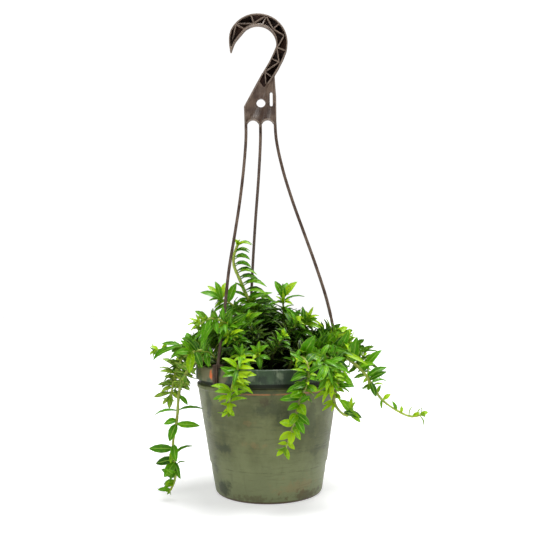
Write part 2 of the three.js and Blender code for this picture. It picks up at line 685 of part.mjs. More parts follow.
// The leaf pairs of a stem: each pair crosses the one before it, and they shrink to the tip.
function rulePairs(stem, line, random) {
  const from = stem.from ?? 0.34;
  const leaves = [];
  for (let i = 0; i < stem.pairs; i += 1) {
    const t = i / (stem.pairs - 1);
    const at = from + (0.985 - from) * Math.pow(t, 0.85);
    const base = line.pointAt(at);
    const tangent = line.tangentAt(at);
    const across = UP.clone().cross(tangent);
    if (across.length() < 0.2) across.set(1, 0, 0);
    across.normalize();
    const over = tangent.clone().cross(across).normalize();
    const grow = 0.86 + 0.3 * t - 0.75 * Math.pow(t, 3);
    const turn = (i % 2) * (Math.PI / 2) + 0.5 + (random() - 0.5) * 0.7;
    for (const half of [0, Math.PI]) {
      const clock = turn + half;
      const spread = (1.25 - 0.45 * t) * (0.85 + 0.3 * random());
      const length = stem.size * grow * (0.85 + 0.3 * random());
      const outward = across.clone().multiplyScalar(Math.cos(clock)).addScaledVector(over, Math.sin(clock));
      const reach = tangent.clone().multiplyScalar(Math.cos(spread)).addScaledVector(outward, Math.sin(spread));
      reach.z += 0.12;
      leaves.push({ base, tangent, outward, reach, length, width: length * 0.32 });
    }
  }
  return leaves;
}

// The comb's leaves: long and narrow, all swept to the right, and drooping at their tips.
function combPairs(stem, line, random) {
  const leaves = [];
  for (let i = 0; i < stem.pairs; i += 1) {
    const t = i / (stem.pairs - 1);
    const at = stem.from + (0.985 - stem.from) * t;
    const length = stem.size * (1.1 - 0.62 * t) * (0.92 + 0.16 * random());
    for (const depth of [-1, 1]) {
      const reach = new THREE.Vector3(1, 0.34 * depth, -0.16 + 0.22 * t + 0.08 * random());
      const place = Math.min(0.995, at + 0.008 * depth);
      leaves.push({
        base: line.pointAt(place),
        tangent: UP,
        outward: UP,
        reach,
        length,
        width: 4.6 - 0.6 * t,
        arch: 0.2,
      });
    }
  }
  return leaves;
}

// A leaf of a pair at one try: later tries turn it, raise it and shorten it a little.
const TRIES = [
  [0, 0, 1],
  [0.35, 0.12, 0.95],
  [-0.35, 0.12, 0.95],
  [0.6, 0.25, 0.88],
  [-0.6, 0.25, 0.88],
  [0, 0.45, 0.8],
  [0, -0.3, 0.75],
];

function pairLeaf(draft, [turn, raise, shrink]) {
  const reach = draft.reach.clone().applyAxisAngle(draft.tangent, turn);
  reach.z += raise;
  reach.normalize();
  const length = draft.length * shrink;
  const tip = draft.base.clone().addScaledVector(reach, length);
  const away = new THREE.Vector3(draft.base.x, draft.base.y, 0).normalize();
  const hint = draft.tangent.clone().multiplyScalar(0.5).addScaledVector(UP, 0.8).addScaledVector(away, 0.3);
  return leafBetween(draft.base, tip, draft.width * shrink, hint, draft.arch ?? 0.1);
}

function boxOf(solid) {
  const { min, max } = solid.boundingBox();
  return new THREE.Box3(new THREE.Vector3(...min), new THREE.Vector3(...max));
}

function measured(solid) {
  return { solid, box: boxOf(solid) };
}

function meets(a, b) {
  return a.box.intersectsBox(b.box) && a.solid.intersect(b.solid).volume() > 0;
}

// Grows the leaves of every stem, each one clear of all that is there before it.
function growStems(fixed) {
  const stems = STEMS.map((stem, index) => {
    const [x, y] = stem.route[0];
    const curve = curveOf([[x, y, ROOT_Z], [x, y, SOIL_TOP - 2], [x, y, SOIL_TOP + 8], ...stem.route.slice(1)]);
    const steps = Math.max(FEWEST_STEPS, Math.round(curve.getLength() / STEP_LENGTH));
    const fat = measured(tube(curve, STEM_R + GAP + 0.2, 3, steps));
    return { stem, line: lineOf(curve, steps), index, solid: tube(curve, STEM_R, 3, steps), tube: fat, outer: [] };
  });
  const drafts = stems.map((grown) => {
    const random = randomFrom(1000 + 77 * grown.index);
    const { stem, line } = grown;
    const singles = (stem.singles ?? []).map((single) => [singleLeaf(line, single)]);
    const pairs = stem.pairs ? (stem.comb ? combPairs : rulePairs)(stem, line, random) : [];
    return [...singles, ...pairs.map((draft) => TRIES.map((attempt) => pairLeaf(draft, attempt)))];
  });
  stems.forEach((grown, s) => {
    for (const tries of drafts[s]) {
      const leaf = tries.find((candidate) => {
        const far = measured(outerBlade(candidate, 0.12));
        if (fixed.some((other) => meets(far, other))) return false;
        if (stems.some((other) => other !== grown && meets(far, other.tube))) return false;
        if (stems.some((other) => other !== grown && other.outer.some((blade) => meets(far, blade)))) return false;
        const near = measured(outerBlade(candidate, 0.3));
        return !grown.outer.some((blade) => meets(near, blade.near));
      });
      if (!leaf) continue;
      const far = measured(outerBlade(leaf, 0));
      far.near = measured(outerBlade(leaf, 0.3));
      grown.outer.push(far);
      let profile = BLADE;
      if (leaf.length < SMALL_LEAF) profile = SMALL_BLADE;
      if (leaf.length > LARGE_LEAF) profile = LARGE_BLADE;
      grown.solid = grown.solid.add(bladeSolid(leaf, profile, 0));
    }
  });
  return stems;
}

const potSolid = buildPot();
const soilSolid = buildSoil(STEMS);
const hangerSolid = buildHanger();
const grownStems = growStems([potSolid, soilSolid, hangerSolid].map(measured));

const plastic = new THREE.MeshStandardMaterial({ color: 0x6e7359, roughness: 0.5, metalness: 0 });
const earth = new THREE.MeshStandardMaterial({ color: 0x16120e, roughness: 1, metalness: 0 });
const brown = new THREE.MeshStandardMaterial({ color: 0x5c4b40, roughness: 0.5, metalness: 0 });
const leafGreen = new THREE.MeshStandardMaterial({ color: 0x4c9a22, roughness: 0.45, metalness: 0 });

const plant = new THREE.Group();
plant.add(meshOf("pot", potSolid, plastic));
plant.add(meshOf("soil", soilSolid, earth));
plant.add(meshOf("hanger", hangerSolid, brown));
for (const { stem, solid } of grownStems) plant.add(meshOf(stem.name, solid, leafGreen));

export default plant;
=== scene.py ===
# %% [markdown]
# # A trailing lipstick plant in its hanging pot
#
# The object is a young trailing plant with paired, pointed leaves. It grows in a thin plastic nursery pot,
# and a one-piece plastic hanger clips over the rim. The size and the place of each part are fixed by the
# plain model that is loaded here. This lesson adds the looks: fine leaves on tapered stems, crumbly soil,
# and moulded plastic with its dust, stains and rounded edges. Lengths are written in millimetres and
# turned into metres where a mesh is made.
# %% Load the plain model
import math

import bmesh
import bpy
from mathutils import Matrix, Vector, noise
from mathutils.bvhtree import BVHTree


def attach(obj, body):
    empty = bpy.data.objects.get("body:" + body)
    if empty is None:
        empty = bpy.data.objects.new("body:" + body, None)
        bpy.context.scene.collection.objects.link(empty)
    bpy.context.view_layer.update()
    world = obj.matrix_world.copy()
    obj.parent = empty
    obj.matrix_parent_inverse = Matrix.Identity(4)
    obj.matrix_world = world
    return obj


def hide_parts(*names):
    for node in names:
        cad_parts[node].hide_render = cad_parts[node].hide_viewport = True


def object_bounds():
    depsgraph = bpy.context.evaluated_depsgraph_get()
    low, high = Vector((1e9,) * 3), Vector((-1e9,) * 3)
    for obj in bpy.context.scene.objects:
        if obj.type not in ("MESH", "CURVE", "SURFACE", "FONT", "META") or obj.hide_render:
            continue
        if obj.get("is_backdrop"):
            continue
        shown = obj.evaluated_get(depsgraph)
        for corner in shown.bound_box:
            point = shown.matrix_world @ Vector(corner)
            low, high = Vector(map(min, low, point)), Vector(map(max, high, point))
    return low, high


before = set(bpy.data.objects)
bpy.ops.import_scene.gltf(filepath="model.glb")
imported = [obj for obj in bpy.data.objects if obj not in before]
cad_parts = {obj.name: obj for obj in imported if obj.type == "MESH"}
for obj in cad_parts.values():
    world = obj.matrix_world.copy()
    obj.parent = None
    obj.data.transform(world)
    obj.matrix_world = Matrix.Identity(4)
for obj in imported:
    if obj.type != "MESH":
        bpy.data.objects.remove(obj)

MM = 0.001
scene = bpy.context.scene
cad_low, cad_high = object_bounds()
print("plain model:", len(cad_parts), "nodes,", [round(v, 3) for v in cad_high - cad_low], "m")

# %% [markdown]
# ## Camera
#
# The view is nearly level and looks straight at the pot. A camera a little under a metre away, pitched up
# by less than three degrees, puts the rim, the base and the hook where they are seen. The picture also
# leans by about half a degree, so the camera is rolled by as much.
# %% Camera
CAMERA_PLACE = Vector((0.0, -0.800, 0.221))
PITCH_UP = math.radians(2.79)
ROLL = math.radians(-0.64)
LENS_MM = 45.72
SENSOR_MM = 36

camera_data = bpy.data.cameras.new("camera")
camera_data.lens = LENS_MM
camera_data.sensor_width = SENSOR_MM
camera = bpy.data.objects.new("camera", camera_data)
turn_up = Matrix.Rotation(math.pi / 2 + PITCH_UP, 4, "X")
camera.matrix_world = Matrix.Translation(CAMERA_PLACE) @ turn_up @ Matrix.Rotation(ROLL, 4, "Z")
scene.collection.objects.link(camera)
scene.camera = camera

# %% [markdown]
# ## Small helpers for meshes
#
# Every piece is a bmesh that becomes an object at the origin, with its place in its vertices. A tube is
# made of circles set along a route and bridged one to the next, which keeps its rings even and lets its
# radius change on the way.
# %% Mesh helpers
def object_from(bm, name, materials, smooth=True):
    """The bmesh as an object at the origin, with its materials."""
    mesh = bpy.data.meshes.new(name)
    bm.to_mesh(mesh)
    bm.free()
    mesh.shade_smooth() if smooth else mesh.shade_flat()
    for material in materials:
        mesh.materials.append(material)
    piece = bpy.data.objects.new(name, mesh)
    scene.collection.objects.link(piece)
    return piece


def settle(piece, node_name):
    """The piece is attached to the root and stands for a node of the plain model, which is hidden."""
    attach(piece, "root")
    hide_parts(node_name)
    print(piece.name, "has", len(piece.data.polygons), "faces")


def apply_modifiers(piece):
    """Turns the piece's modifiers into its mesh."""
    view = bpy.context.evaluated_depsgraph_get()
    made = bpy.data.meshes.new_from_object(piece.evaluated_get(view))
    old = piece.data
    piece.modifiers.clear()
    piece.data = made
    bpy.data.meshes.remove(old)


def cut_or_join(piece, tools, operation):
    """Joins other objects to the piece or cuts them out of it, and removes them."""
    for tool in tools:
        modifier = piece.modifiers.new(operation.lower(), "BOOLEAN")
        modifier.operation = operation
        modifier.solver = "MANIFOLD"
        modifier.object = tool
    bpy.context.view_layer.update()
    apply_modifiers(piece)
    for tool in tools:
        mesh = tool.data
        bpy.data.objects.remove(tool)
        bpy.data.meshes.remove(mesh)


def round_edges(piece, width, from_degrees):
    """Rounds the edges where faces meet at more than an angle, as a mould leaves them."""
    bevel = piece.modifiers.new("rounded_edges", "BEVEL")
    bevel.width = width * MM
    bevel.segments = 2
    bevel.limit_method = "ANGLE"
    bevel.angle_limit = math.radians(from_degrees)
    piece.data.shade_smooth()


def route_frames(points):
    """A matrix for each point of a route: +Z runs along it, and it turns as little as it can."""
    frames = []
    side = None
    for i, point in enumerate(points):
        ahead = points[min(i + 1, len(points) - 1)] - points[max(i - 1, 0)]
        ahead.normalize()
        if side is None:
            side = ahead.orthogonal()
        side = (side - ahead * side.dot(ahead)).normalized()
        across = ahead.cross(side)
        turn = Matrix((side, across, ahead)).transposed().to_4x4()
        frames.append(Matrix.Translation(point) @ turn)
    return frames


def tube(bm, points, radii, sides, flatten=1.0):
    """A closed tube along the points in millimetres, with a radius at each."""
    squash = Matrix.Diagonal((1.0, flatten, 1.0, 1.0))
    rings = []
    for place, radius in zip(route_frames([p * MM for p in points]), radii):
        ring = bmesh.ops.create_circle(bm, segments=sides, radius=radius * MM, matrix=place @ squash)
        rings.append(list({e for v in ring["verts"] for e in v.link_edges}))
    for near, far in zip(rings, rings[1:]):
        bmesh.ops.bridge_loops(bm, edges=near + far)
    for end in (rings[0], rings[-1]):
        bmesh.ops.contextual_create(bm, geom=end)
    bmesh.ops.recalc_face_normals(bm, faces=bm.faces)


# %% [markdown]
# ## Small helpers for materials
#
# A procedural material is a tree of small nodes. These helpers add one node each and wire its inputs, so
# that a material reads as a short recipe: take a noise, keep a band of it, mix two colours by it.
# %% Node helpers
def node(tree, kind, inputs=None, **settings):
    """Adds a node, with its settings and its inputs, each a value or another node's output."""
    made = tree.nodes.new(kind)
    for name, value in settings.items():
        setattr(made, name, value)
    for name, value in (inputs or {}).items():
        socket = made.inputs[name]
        if isinstance(value, bpy.types.NodeSocket):
            tree.links.new(value, socket)
        else:
            socket.default_value = value
    return made


def object_place(tree):
    """The place on the object, which lies at the origin, so it is the place in the whole model too."""
    return node(tree, "ShaderNodeTexCoord").outputs["Object"]


def axes_of(tree, vector):
    return node(tree, "ShaderNodeSeparateXYZ", {0: vector}).outputs


def noise_of(tree, vector, scale, detail=3.0, rough=0.55):
    inputs = {"Vector": vector, "Scale": scale, "Detail": detail, "Roughness": rough}
    return node(tree, "ShaderNodeTexNoise", inputs).outputs["Fac"]


def band(tree, value, low, high, to_low=0.0, to_high=1.0):
    """A smooth step of the value from one limit to the other."""
    inputs = {"Value": value, "From Min": low, "From Max": high, "To Min": to_low, "To Max": to_high}
    return node(tree, "ShaderNodeMapRange", inputs, interpolation_type="SMOOTHSTEP").outputs["Result"]


def maths(tree, operation, first, second=0.5):
    return node(tree, "ShaderNodeMath", {0: first, 1: second}, operation=operation).outputs[0]


def times(tree, first, second):
    return maths(tree, "MULTIPLY", first, second)


def stripe(tree, level, heights):
    """Four heights in millimetres: it fades in between the first two and out between the last two."""
    start, full, fading, end = [height * MM for height in heights]
    return times(tree, band(tree, level, start, full), band(tree, level, end, fading))


def vector_maths(tree, operation, first, second=(0.0, 0.0, 0.0)):
    return node(tree, "ShaderNodeVectorMath", {0: first, 1: second}, operation=operation).outputs


def stretched(tree, vector, scale):
    """The vector with each axis scaled by its own number."""
    return vector_maths(tree, "MULTIPLY", vector, scale)[0]


def blend(tree, share, first, second):
    """Two colours mixed by a share. The Mix node takes its colours at 6 and 7 and gives one at 2."""
    inputs = {0: share, 6: first, 7: second}
    return node(tree, "ShaderNodeMix", inputs, data_type="RGBA").outputs[2]


def tint(red, green, blue):
    """A colour given as it looks on a screen, from 0 to 255, as the shader's linear numbers."""
    def linear(channel):
        share = channel / 255
        return share / 12.92 if share <= 0.04045 else ((share + 0.055) / 1.055) ** 2.4
    return (linear(red), linear(green), linear(blue), 1.0)


# %% Group and material helpers
def new_group(name, inputs, outputs):
    """An empty shader group with named sockets. Inputs are (name, kind, value)."""
    group = bpy.data.node_groups.new(name, "ShaderNodeTree")
    for socket_name, kind, value in inputs:
        socket = group.interface.new_socket(socket_name, in_out="INPUT", socket_type="NodeSocket" + kind)
        if value is not None:
            socket.default_value = value
    for socket_name, kind in outputs:
        group.interface.new_socket(socket_name, in_out="OUTPUT", socket_type="NodeSocket" + kind)
    start = group.nodes.new("NodeGroupInput").outputs
    end = group.nodes.new("NodeGroupOutput").inputs
    return group, start, end


def use(tree, group, inputs):
    """Places a group in a material and gives its outputs."""
    return node(tree, "ShaderNodeGroup", inputs, node_tree=group).outputs


def new_material(name, **shader_values):
    """A material with its shader, whose constant values are set on the shader's own sockets."""
    material = bpy.data.materials.new(name)
    material.use_nodes = True
    tree = material.node_tree
    shader = tree.nodes["Principled BSDF"]
    for socket, value in shader_values.items():
        shader.inputs[socket.replace("_", " ")].default_value = value
    return material, tree, shader


def finish_with(tree, shader, colour, rough, height, strength, distance):
    """Wires colour, roughness and a bump, as deep as a distance in metres, to the shader."""
    tree.links.new(colour, shader.inputs["Base Color"])
    tree.links.new(rough, shader.inputs["Roughness"])
    inputs = {"Height": height, "Strength": strength, "Distance": distance}
    bump = node(tree, "ShaderNodeBump", inputs)
    tree.links.new(bump.outputs["Normal"], shader.inputs["Normal"])
    print("the finish has", len(tree.nodes), "nodes")


# %% [markdown]
# ## Effects that several finishes share
#
# Moulded plastic is never quite smooth: it has a fine grain, a slow waviness, and hairline scratches.
# Dust and stains lie on it in soft patches, and painted shade is laid on in soft patches too. Each effect
# could be built again in every material. Here it is a shader group with its own inputs, so that the pot and
# the hanger use one recipe at their own scale.
# %% Moulded grain group
grain_group, grain_in, grain_out = new_group(
    "moulded_grain",
    [("Vector", "Vector", None), ("Scale", "Float", 900.0), ("Wave", "Float", 60.0)],
    [("Height", "Float"), ("Value", "Float")],
)
fine = noise_of(grain_group, grain_in["Vector"], grain_in["Scale"], 2.0)
slow = noise_of(grain_group, grain_in["Vector"], grain_in["Wave"], 4.0)
scratch_way = stretched(grain_group, grain_in["Vector"], (1.0, 1.0, 14.0))
scratch = noise_of(grain_group, scratch_way, times(grain_group, grain_in["Wave"], 1.4), 6.0, 0.75)
mixed = maths(grain_group, "ADD", times(grain_group, fine, 0.3), times(grain_group, slow, 0.7))
height = maths(grain_group, "ADD", mixed, times(grain_group, scratch, 0.35))
grain_group.links.new(height, grain_out["Height"])
grain_group.links.new(scratch, grain_out["Value"])

# %% [markdown]
# Stains and patches of painted shade are soft ellipsoids. Noise is added to the distance from the middle,
# which makes the edge ragged, and the distance then becomes a mask that fades from the middle outwards.
# %% Stain and painted shade group
patch_group, patch_in, patch_out = new_group(
    "soft_patch",
    [
        ("Vector", "Vector", None),
        ("Centre", "Vector", (0.0, 0.0, 0.0)),
        ("Size", "Vector", (0.01, 0.01, 0.01)),
        ("Broken", "Float", 0.5),
        ("Detail Scale", "Float", 110.0),
    ],
    [("Mask", "Float")],
)
offset = vector_maths(patch_group, "SUBTRACT", patch_in["Vector"], patch_in["Centre"])[0]
shrunk = vector_maths(patch_group, "DIVIDE", offset, patch_in["Size"])[0]
reach = vector_maths(patch_group, "LENGTH", shrunk)["Value"]
ragged = noise_of(patch_group, patch_in["Vector"], patch_in["Detail Scale"], 5.0, 0.65)
ragged = times(patch_group, maths(patch_group, "SUBTRACT", ragged, 0.5), patch_in["Broken"])
reach = maths(patch_group, "ADD", reach, times(patch_group, ragged, 3.0))
patch_group.links.new(band(patch_group, reach, 1.0, 0.35), patch_out["Mask"])
print("shared groups:", [group.name for group in bpy.data.node_groups])

# %% [markdown]
# ## The pot's sizes
#
# The pot has a deep rim band. Below it are a groove and a lip, on which the next pot of a stack rests. The
# finish needs these heights as much as the mesh does, so they come first. The wall widens evenly upwards.
# %% Pot sizes
RIM_R = 83.7
RIM_TOP = 146.8
BAND_H = 15.5
GROOVE_H = 4.8
LIP_H = 5.5
WALL = 1.8
FOOT_WALL_R = 61.2
WALL_SLOPE = 0.166

band_foot = RIM_TOP - BAND_H
lip_top = band_foot - GROOVE_H
lip_foot = lip_top - LIP_H
print("the band ends at", round(band_foot, 1), "mm and the lip at", round(lip_foot, 1), "mm")

# %% [markdown]
# ## The pot's finish
#
# The pot is olive grey-green plastic that has stood in a greenhouse. Its finish could be painted on an
# unwrapped mesh. Noise and soft shapes in object space are used instead, because they have no seams and stay
# sharp from near. The plain wall comes first: soft clouds of two greens, streaks where water ran down, and
# level ones that the mould left. The wall is also painted paler to the foot, which is painted light from the
# white floor below, with the upper wall in the plant's shade.
# %% Plain wall
OLIVE = tint(84, 89, 53)
OLIVE_LIGHT = tint(108, 114, 74)
OLIVE_PAINTED_LIGHT = tint(128, 136, 98)
OLIVE_DARK = tint(50, 58, 38)

pot_plastic, tree, shader = new_material("pot_plastic", IOR=1.45, Specular_IOR_Level=0.3)
place = object_place(tree)
sideways, _, level = axes_of(tree, place)
clouds = noise_of(tree, place, 22.0, 6.0, 0.6)
colour = blend(tree, band(tree, clouds, 0.4, 0.62), OLIVE, OLIVE_LIGHT)
# Painted light: the wall is paler towards the foot, where the white floor lights it, and darker above in the
# plant's shade.
colour = blend(tree, band(tree, level, 75 * MM, 15 * MM, 0.0, 0.6), colour, OLIVE_PAINTED_LIGHT)
streaks = noise_of(tree, stretched(tree, place, (1.0, 1.0, 0.16)), 70.0, 6.0, 0.7)
colour = blend(tree, band(tree, streaks, 0.5, 0.78, 0.0, 0.4), colour, OLIVE_DARK)
level_grain = noise_of(tree, stretched(tree, place, (0.12, 0.12, 1.0)), 420.0, 4.0, 0.6)
colour = blend(tree, band(tree, level_grain, 0.52, 0.74, 0.0, 0.3), colour, OLIVE_DARK)

# %% [markdown]
# A few fine dark rings show on the wall. Each has a height, a strength, and the place across the pot, from
# its left side, at which it begins.
# %% Dark rings
RINGS = [(35.5, 0.5, -90), (60.5, 0.75, 10), (56.8, 0.6, 10), (73.0, 0.3, -60)]
RING_HALF = 0.9
RING_FADE = 20

for ring_z, strength, first_x in RINGS:
    ring = stripe(tree, level, (ring_z - RING_HALF, ring_z, ring_z, ring_z + RING_HALF))
    ring = times(tree, ring, band(tree, sideways, first_x * MM, (first_x + RING_FADE) * MM))
    mask = times(tree, ring, band(tree, streaks, 0.4, 0.6, 0.0, strength))
    colour = blend(tree, mask, colour, OLIVE_DARK)

# %% [markdown]
# Soft dark marks lie on the wall. Those high on the front are painted shadow of the lip and the leaves above,
# and the others are darker smudges. Old splashes are a dull orange, and brown dust has gathered low down.
# Each is one use of the patch group, with the centre and the half sizes of its ellipsoid in millimetres, its
# colour, its strength, and how ragged its edge is.
# %% Stains and painted shadow on the wall
DIRT_ORANGE = tint(168, 108, 66)
DIRT_BROWN = tint(66, 46, 30)
WALL_STAINS_AND_SHADE = [
    # The first three rows and the wide one under the lip are painted shadow of the lip and the leaves above.
    ((4, -76, 104), (26, 24, 13), OLIVE_DARK, 0.5, 0.9),
    ((20, -72, 92), (15, 20, 15), OLIVE_DARK, 0.5, 0.9),
    ((46, -58, 92), (11, 20, 24), OLIVE_DARK, 0.45, 0.9),
    ((-66, -43, 108), (7, 14, 26), OLIVE_DARK, 0.6, 0.8),
    ((-50, -50, 60), (14, 18, 7.5), OLIVE_DARK, 0.7, 0.7),
    ((-66, -30, 88), (5, 16, 18), OLIVE_DARK, 0.65, 0.8),
    ((-60, -34, 36), (6, 14, 12), OLIVE_DARK, 0.5, 0.9),
    ((-49, -38, 14), (12, 18, 12), OLIVE_DARK, 0.8, 0.7),
    ((52, -44, 56), (20, 24, 6), OLIVE_DARK, 0.35, 1.0),
    ((-4, -80, 113), (7, 9, 7), DIRT_BROWN, 0.4, 1.0),
    ((-4, -80, 123), (34, 14, 5), OLIVE_DARK, 0.6, 0.8),
    ((-20, -74, 90), (9, 12, 4), DIRT_ORANGE, 0.1, 1.6),
    ((-15, -73, 66), (13, 14, 4), DIRT_ORANGE, 0.14, 1.6),
    ((36, -55, 19), (28, 24, 9), DIRT_ORANGE, 0.14, 1.8),
    ((44, -46, 7), (34, 26, 8), DIRT_BROWN, 0.5, 1.2),
    ((-18, -60, 6), (30, 26, 5), DIRT_BROWN, 0.4, 1.2),
]


def stained_and_shaded(colour, mark_list):
    """The pot's colour with each mark of a list laid over it in turn, real marks and painted shade alike."""
    for centre, size, mark_colour, strength, broken in mark_list:
        ellipsoid = {"Centre": [v * MM for v in centre], "Size": [v * MM for v in size]}
        mask = use(tree, patch_group, {"Vector": place, "Broken": broken, **ellipsoid})["Mask"]
        colour = blend(tree, times(tree, mask, strength), colour, mark_colour)
    return colour


# Stains, and the painted shadow under the lip and the leaves, go on the wall.
colour = stained_and_shaded(colour, WALL_STAINS_AND_SHADE)

# %% [markdown]
# The rim band is bluer than the wall. Its pale vertical streaks are a painted reflection of the light, and a
# few pale spots are marks that hard water left. Its left side is tan, and one spot beside the clip is the
# colour of rust. The groove under the band is in deep shade.
# %% Rim band and groove
BAND_TAN = tint(112, 108, 74)
BAND_GREEN = tint(64, 84, 58)
BAND_PALE = tint(122, 136, 108)
BAND_DARK = tint(30, 40, 32)
DIRT_RUST = tint(222, 104, 40)
UNDERCUT = tint(24, 32, 22)
BAND_STAINS = [
    ((-70, -46, 140), (24, 32, 16), BAND_TAN, 0.85, 0.9),
    ((-47, -69, 138), (7, 9, 12), BAND_TAN, 0.8, 0.9),
    ((-18, -82, 139), (5, 9, 9), BAND_PALE, 0.7, 0.7),
    ((-4, -83, 137), (8, 9, 8), BAND_DARK, 0.6, 0.9),
    ((14, -82, 141), (6, 9, 5), BAND_PALE, 0.5, 0.9),
    ((-62, -56, 139), (2.0, 6, 6.0), DIRT_RUST, 0.9, 1.0),
]

is_band = band(tree, level, (band_foot - 1.0) * MM, (band_foot - 0.4) * MM)
# Painted reflection: pale vertical streaks on the band.
band_sheen_streaks = noise_of(tree, stretched(tree, place, (1.0, 1.0, 0.3)), 140.0, 6.0, 0.7)
band_colour = blend(tree, band(tree, band_sheen_streaks, 0.5, 0.62, 0.0, 0.75), BAND_GREEN, BAND_PALE)
band_colour = blend(tree, band(tree, clouds, 0.56, 0.4, 0.0, 0.6), band_colour, BAND_DARK)
colour = blend(tree, is_band, colour, stained_and_shaded(band_colour, BAND_STAINS))
shut_in = stripe(tree, level, (lip_foot + 4.4, lip_foot + 7.2, band_foot - 0.4, band_foot + 1.2))
colour = blend(tree, times(tree, shut_in, 0.9), colour, UNDERCUT)

# %% [markdown]
# Dull orange dirt lies in a broken line under the lip, and the foot is dark brown. Last, the shared grain
# gives the skin its fine bumps and an uneven gloss.
# %% Dirt line, foot and gloss
FOOT_BROWN = tint(58, 24, 14)
LINE_STEPS = (-1.4, -0.7, 0.1, 0.7)
LINE_FROM_X = (-58, -38)

line_noise = noise_of(tree, place, 40.0, 4.0, 0.6)
dirt_line = stripe(tree, level, [lip_foot + step for step in LINE_STEPS])
dirt_line = times(tree, dirt_line, band(tree, line_noise, 0.42, 0.58))
dirt_line = times(tree, dirt_line, band(tree, sideways, *[x * MM for x in LINE_FROM_X]))
colour = blend(tree, times(tree, dirt_line, 0.7), colour, DIRT_ORANGE)
foot = band(tree, level, 4.4 * MM, 1.8 * MM)
colour = blend(tree, times(tree, foot, 0.85), colour, FOOT_BROWN)
grain = use(tree, grain_group, {"Vector": place, "Scale": 1400.0, "Wave": 70.0})
rough = band(tree, grain["Value"], 0.3, 0.75, 0.34, 0.58)
finish_with(tree, shader, colour, rough, grain["Height"], 0.35, 0.0006)

# %% [markdown]
# ## The hanger's finish
#
# The hanger is brown plastic with a satin skin. Where the melt ran along the thin strands it left faint
# lengthwise lines, the raised faces of the hook and the plate are paler, and its colour drifts between a grey
# brown and a dark one. The floors of the hook's pockets are painted nearly black, as painted shade in the
# recesses. One function makes both finishes, because they differ in their tones and gloss alone. The strand
# at the back is painted darker than the two in front, as painted shade of the plant.
# %% Hanger finish
HANGER_BROWN = tint(108, 90, 76)
HANGER_DARK = tint(72, 54, 44)
HANGER_PALE = tint(142, 126, 112)
POCKET_BROWN = tint(52, 34, 26)
POCKET_DARK = tint(12, 6, 4)
POCKET_PALE = tint(74, 58, 46)
RAISED_FROM = (2.3, 2.7)
PALER_ABOVE = (420, 424)
BACK_FROM = (0, 30)


def hanger_finish(name, usual, dark, pale_tone, gloss):
    """The moulded brown plastic in three tones, with its gloss and painted shade on the parts at the back."""
    material, tree, shader = new_material(name, IOR=1.45, Specular_IOR_Level=gloss)
    place = object_place(tree)
    _, depth, level = axes_of(tree, place)
    # Painted shade: the parts at the back are darker, the back strand most, as they lie in the plant's shade.
    behind = band(tree, depth, *[y * MM for y in BACK_FROM])
    flow = noise_of(tree, stretched(tree, place, (1.0, 1.0, 0.12)), 420.0, 4.0, 0.6)
    drift = noise_of(tree, place, 60.0, 4.0, 0.6)
    colour = blend(tree, band(tree, drift, 0.35, 0.65), usual, dark)
    colour = blend(tree, band(tree, flow, 0.5, 0.72, 0.0, 0.16), colour, pale_tone)
    raised = band(tree, maths(tree, "ABSOLUTE", depth), *[y * MM for y in RAISED_FROM])
    raised = times(tree, raised, band(tree, level, *[z * MM for z in PALER_ABOVE]))
    colour = blend(tree, times(tree, raised, 0.6), colour, pale_tone)
    colour = blend(tree, times(tree, behind, 0.75), colour, dark)
    grain = use(tree, grain_group, {"Vector": place, "Scale": 1800.0, "Wave": 160.0})
    rough = band(tree, grain["Value"], 0.3, 0.75, 0.36, 0.6)
    finish_with(tree, shader, colour, rough, grain["Height"], 0.3, 0.0004)
    return material


hanger_plastic = hanger_finish("hanger_plastic", HANGER_BROWN, HANGER_DARK, HANGER_PALE, 0.4)
hanger_pocket_shade = hanger_finish("hanger_pocket_shade", POCKET_BROWN, POCKET_DARK, POCKET_PALE, 0.12)

# %% [markdown]
# ## The soil's finish
#
# Potting mix is nearly black when damp: dark peat with a few browner fibres. The crumbs are real meshes, so
# the finish only adds what is smaller than they are. It has almost no gloss.
# %% Soil finish
PEAT = tint(20, 15, 12)
PEAT_BROWN = tint(56, 40, 28)

soil_mix, tree, shader = new_material("soil_mix", Specular_IOR_Level=0.05)
place = object_place(tree)
lumps = noise_of(tree, place, 260.0, 6.0, 0.7)
fibres = noise_of(tree, stretched(tree, place, (1.0, 4.0, 1.0)), 500.0, 4.0, 0.7)
colour = blend(tree, band(tree, fibres, 0.56, 0.72, 0.0, 0.7), PEAT, PEAT_BROWN)
rough = band(tree, lumps, 0.2, 0.8, 0.85, 1.0)
finish_with(tree, shader, colour, rough, lumps, 1.0, 0.0015)

# %% [markdown]
# ## The leaves' finish
#
# A leaf of this plant is waxy and folded, with a pale midrib in a shallow groove, faint side veins and at
# times a reddish edge. A picture of one leaf would make them all alike. So the finish is worked out from what
# each leaf carries: a UV map that runs across and along it, and a colour attribute called growth_and_shade.
# Its red is the leaf's age with painted shade added deep in the plant, as a share of the top value, and its
# green is 1 on the underside. Its blue holds two things at once: it is above 0.5 on a worn leaf, and twice
# its value, without the whole number, is a chance number that makes no two leaves alike.
# %% What a leaf carries
AGE_AND_SHADE_TOP = 1.6


def growth_and_shade_of(tree):
    """The red, green and blue of the growth attribute."""
    growth_and_shade = node(tree, "ShaderNodeAttribute", attribute_name="growth_and_shade").outputs["Color"]
    return node(tree, "ShaderNodeSeparateColor", {0: growth_and_shade}).outputs


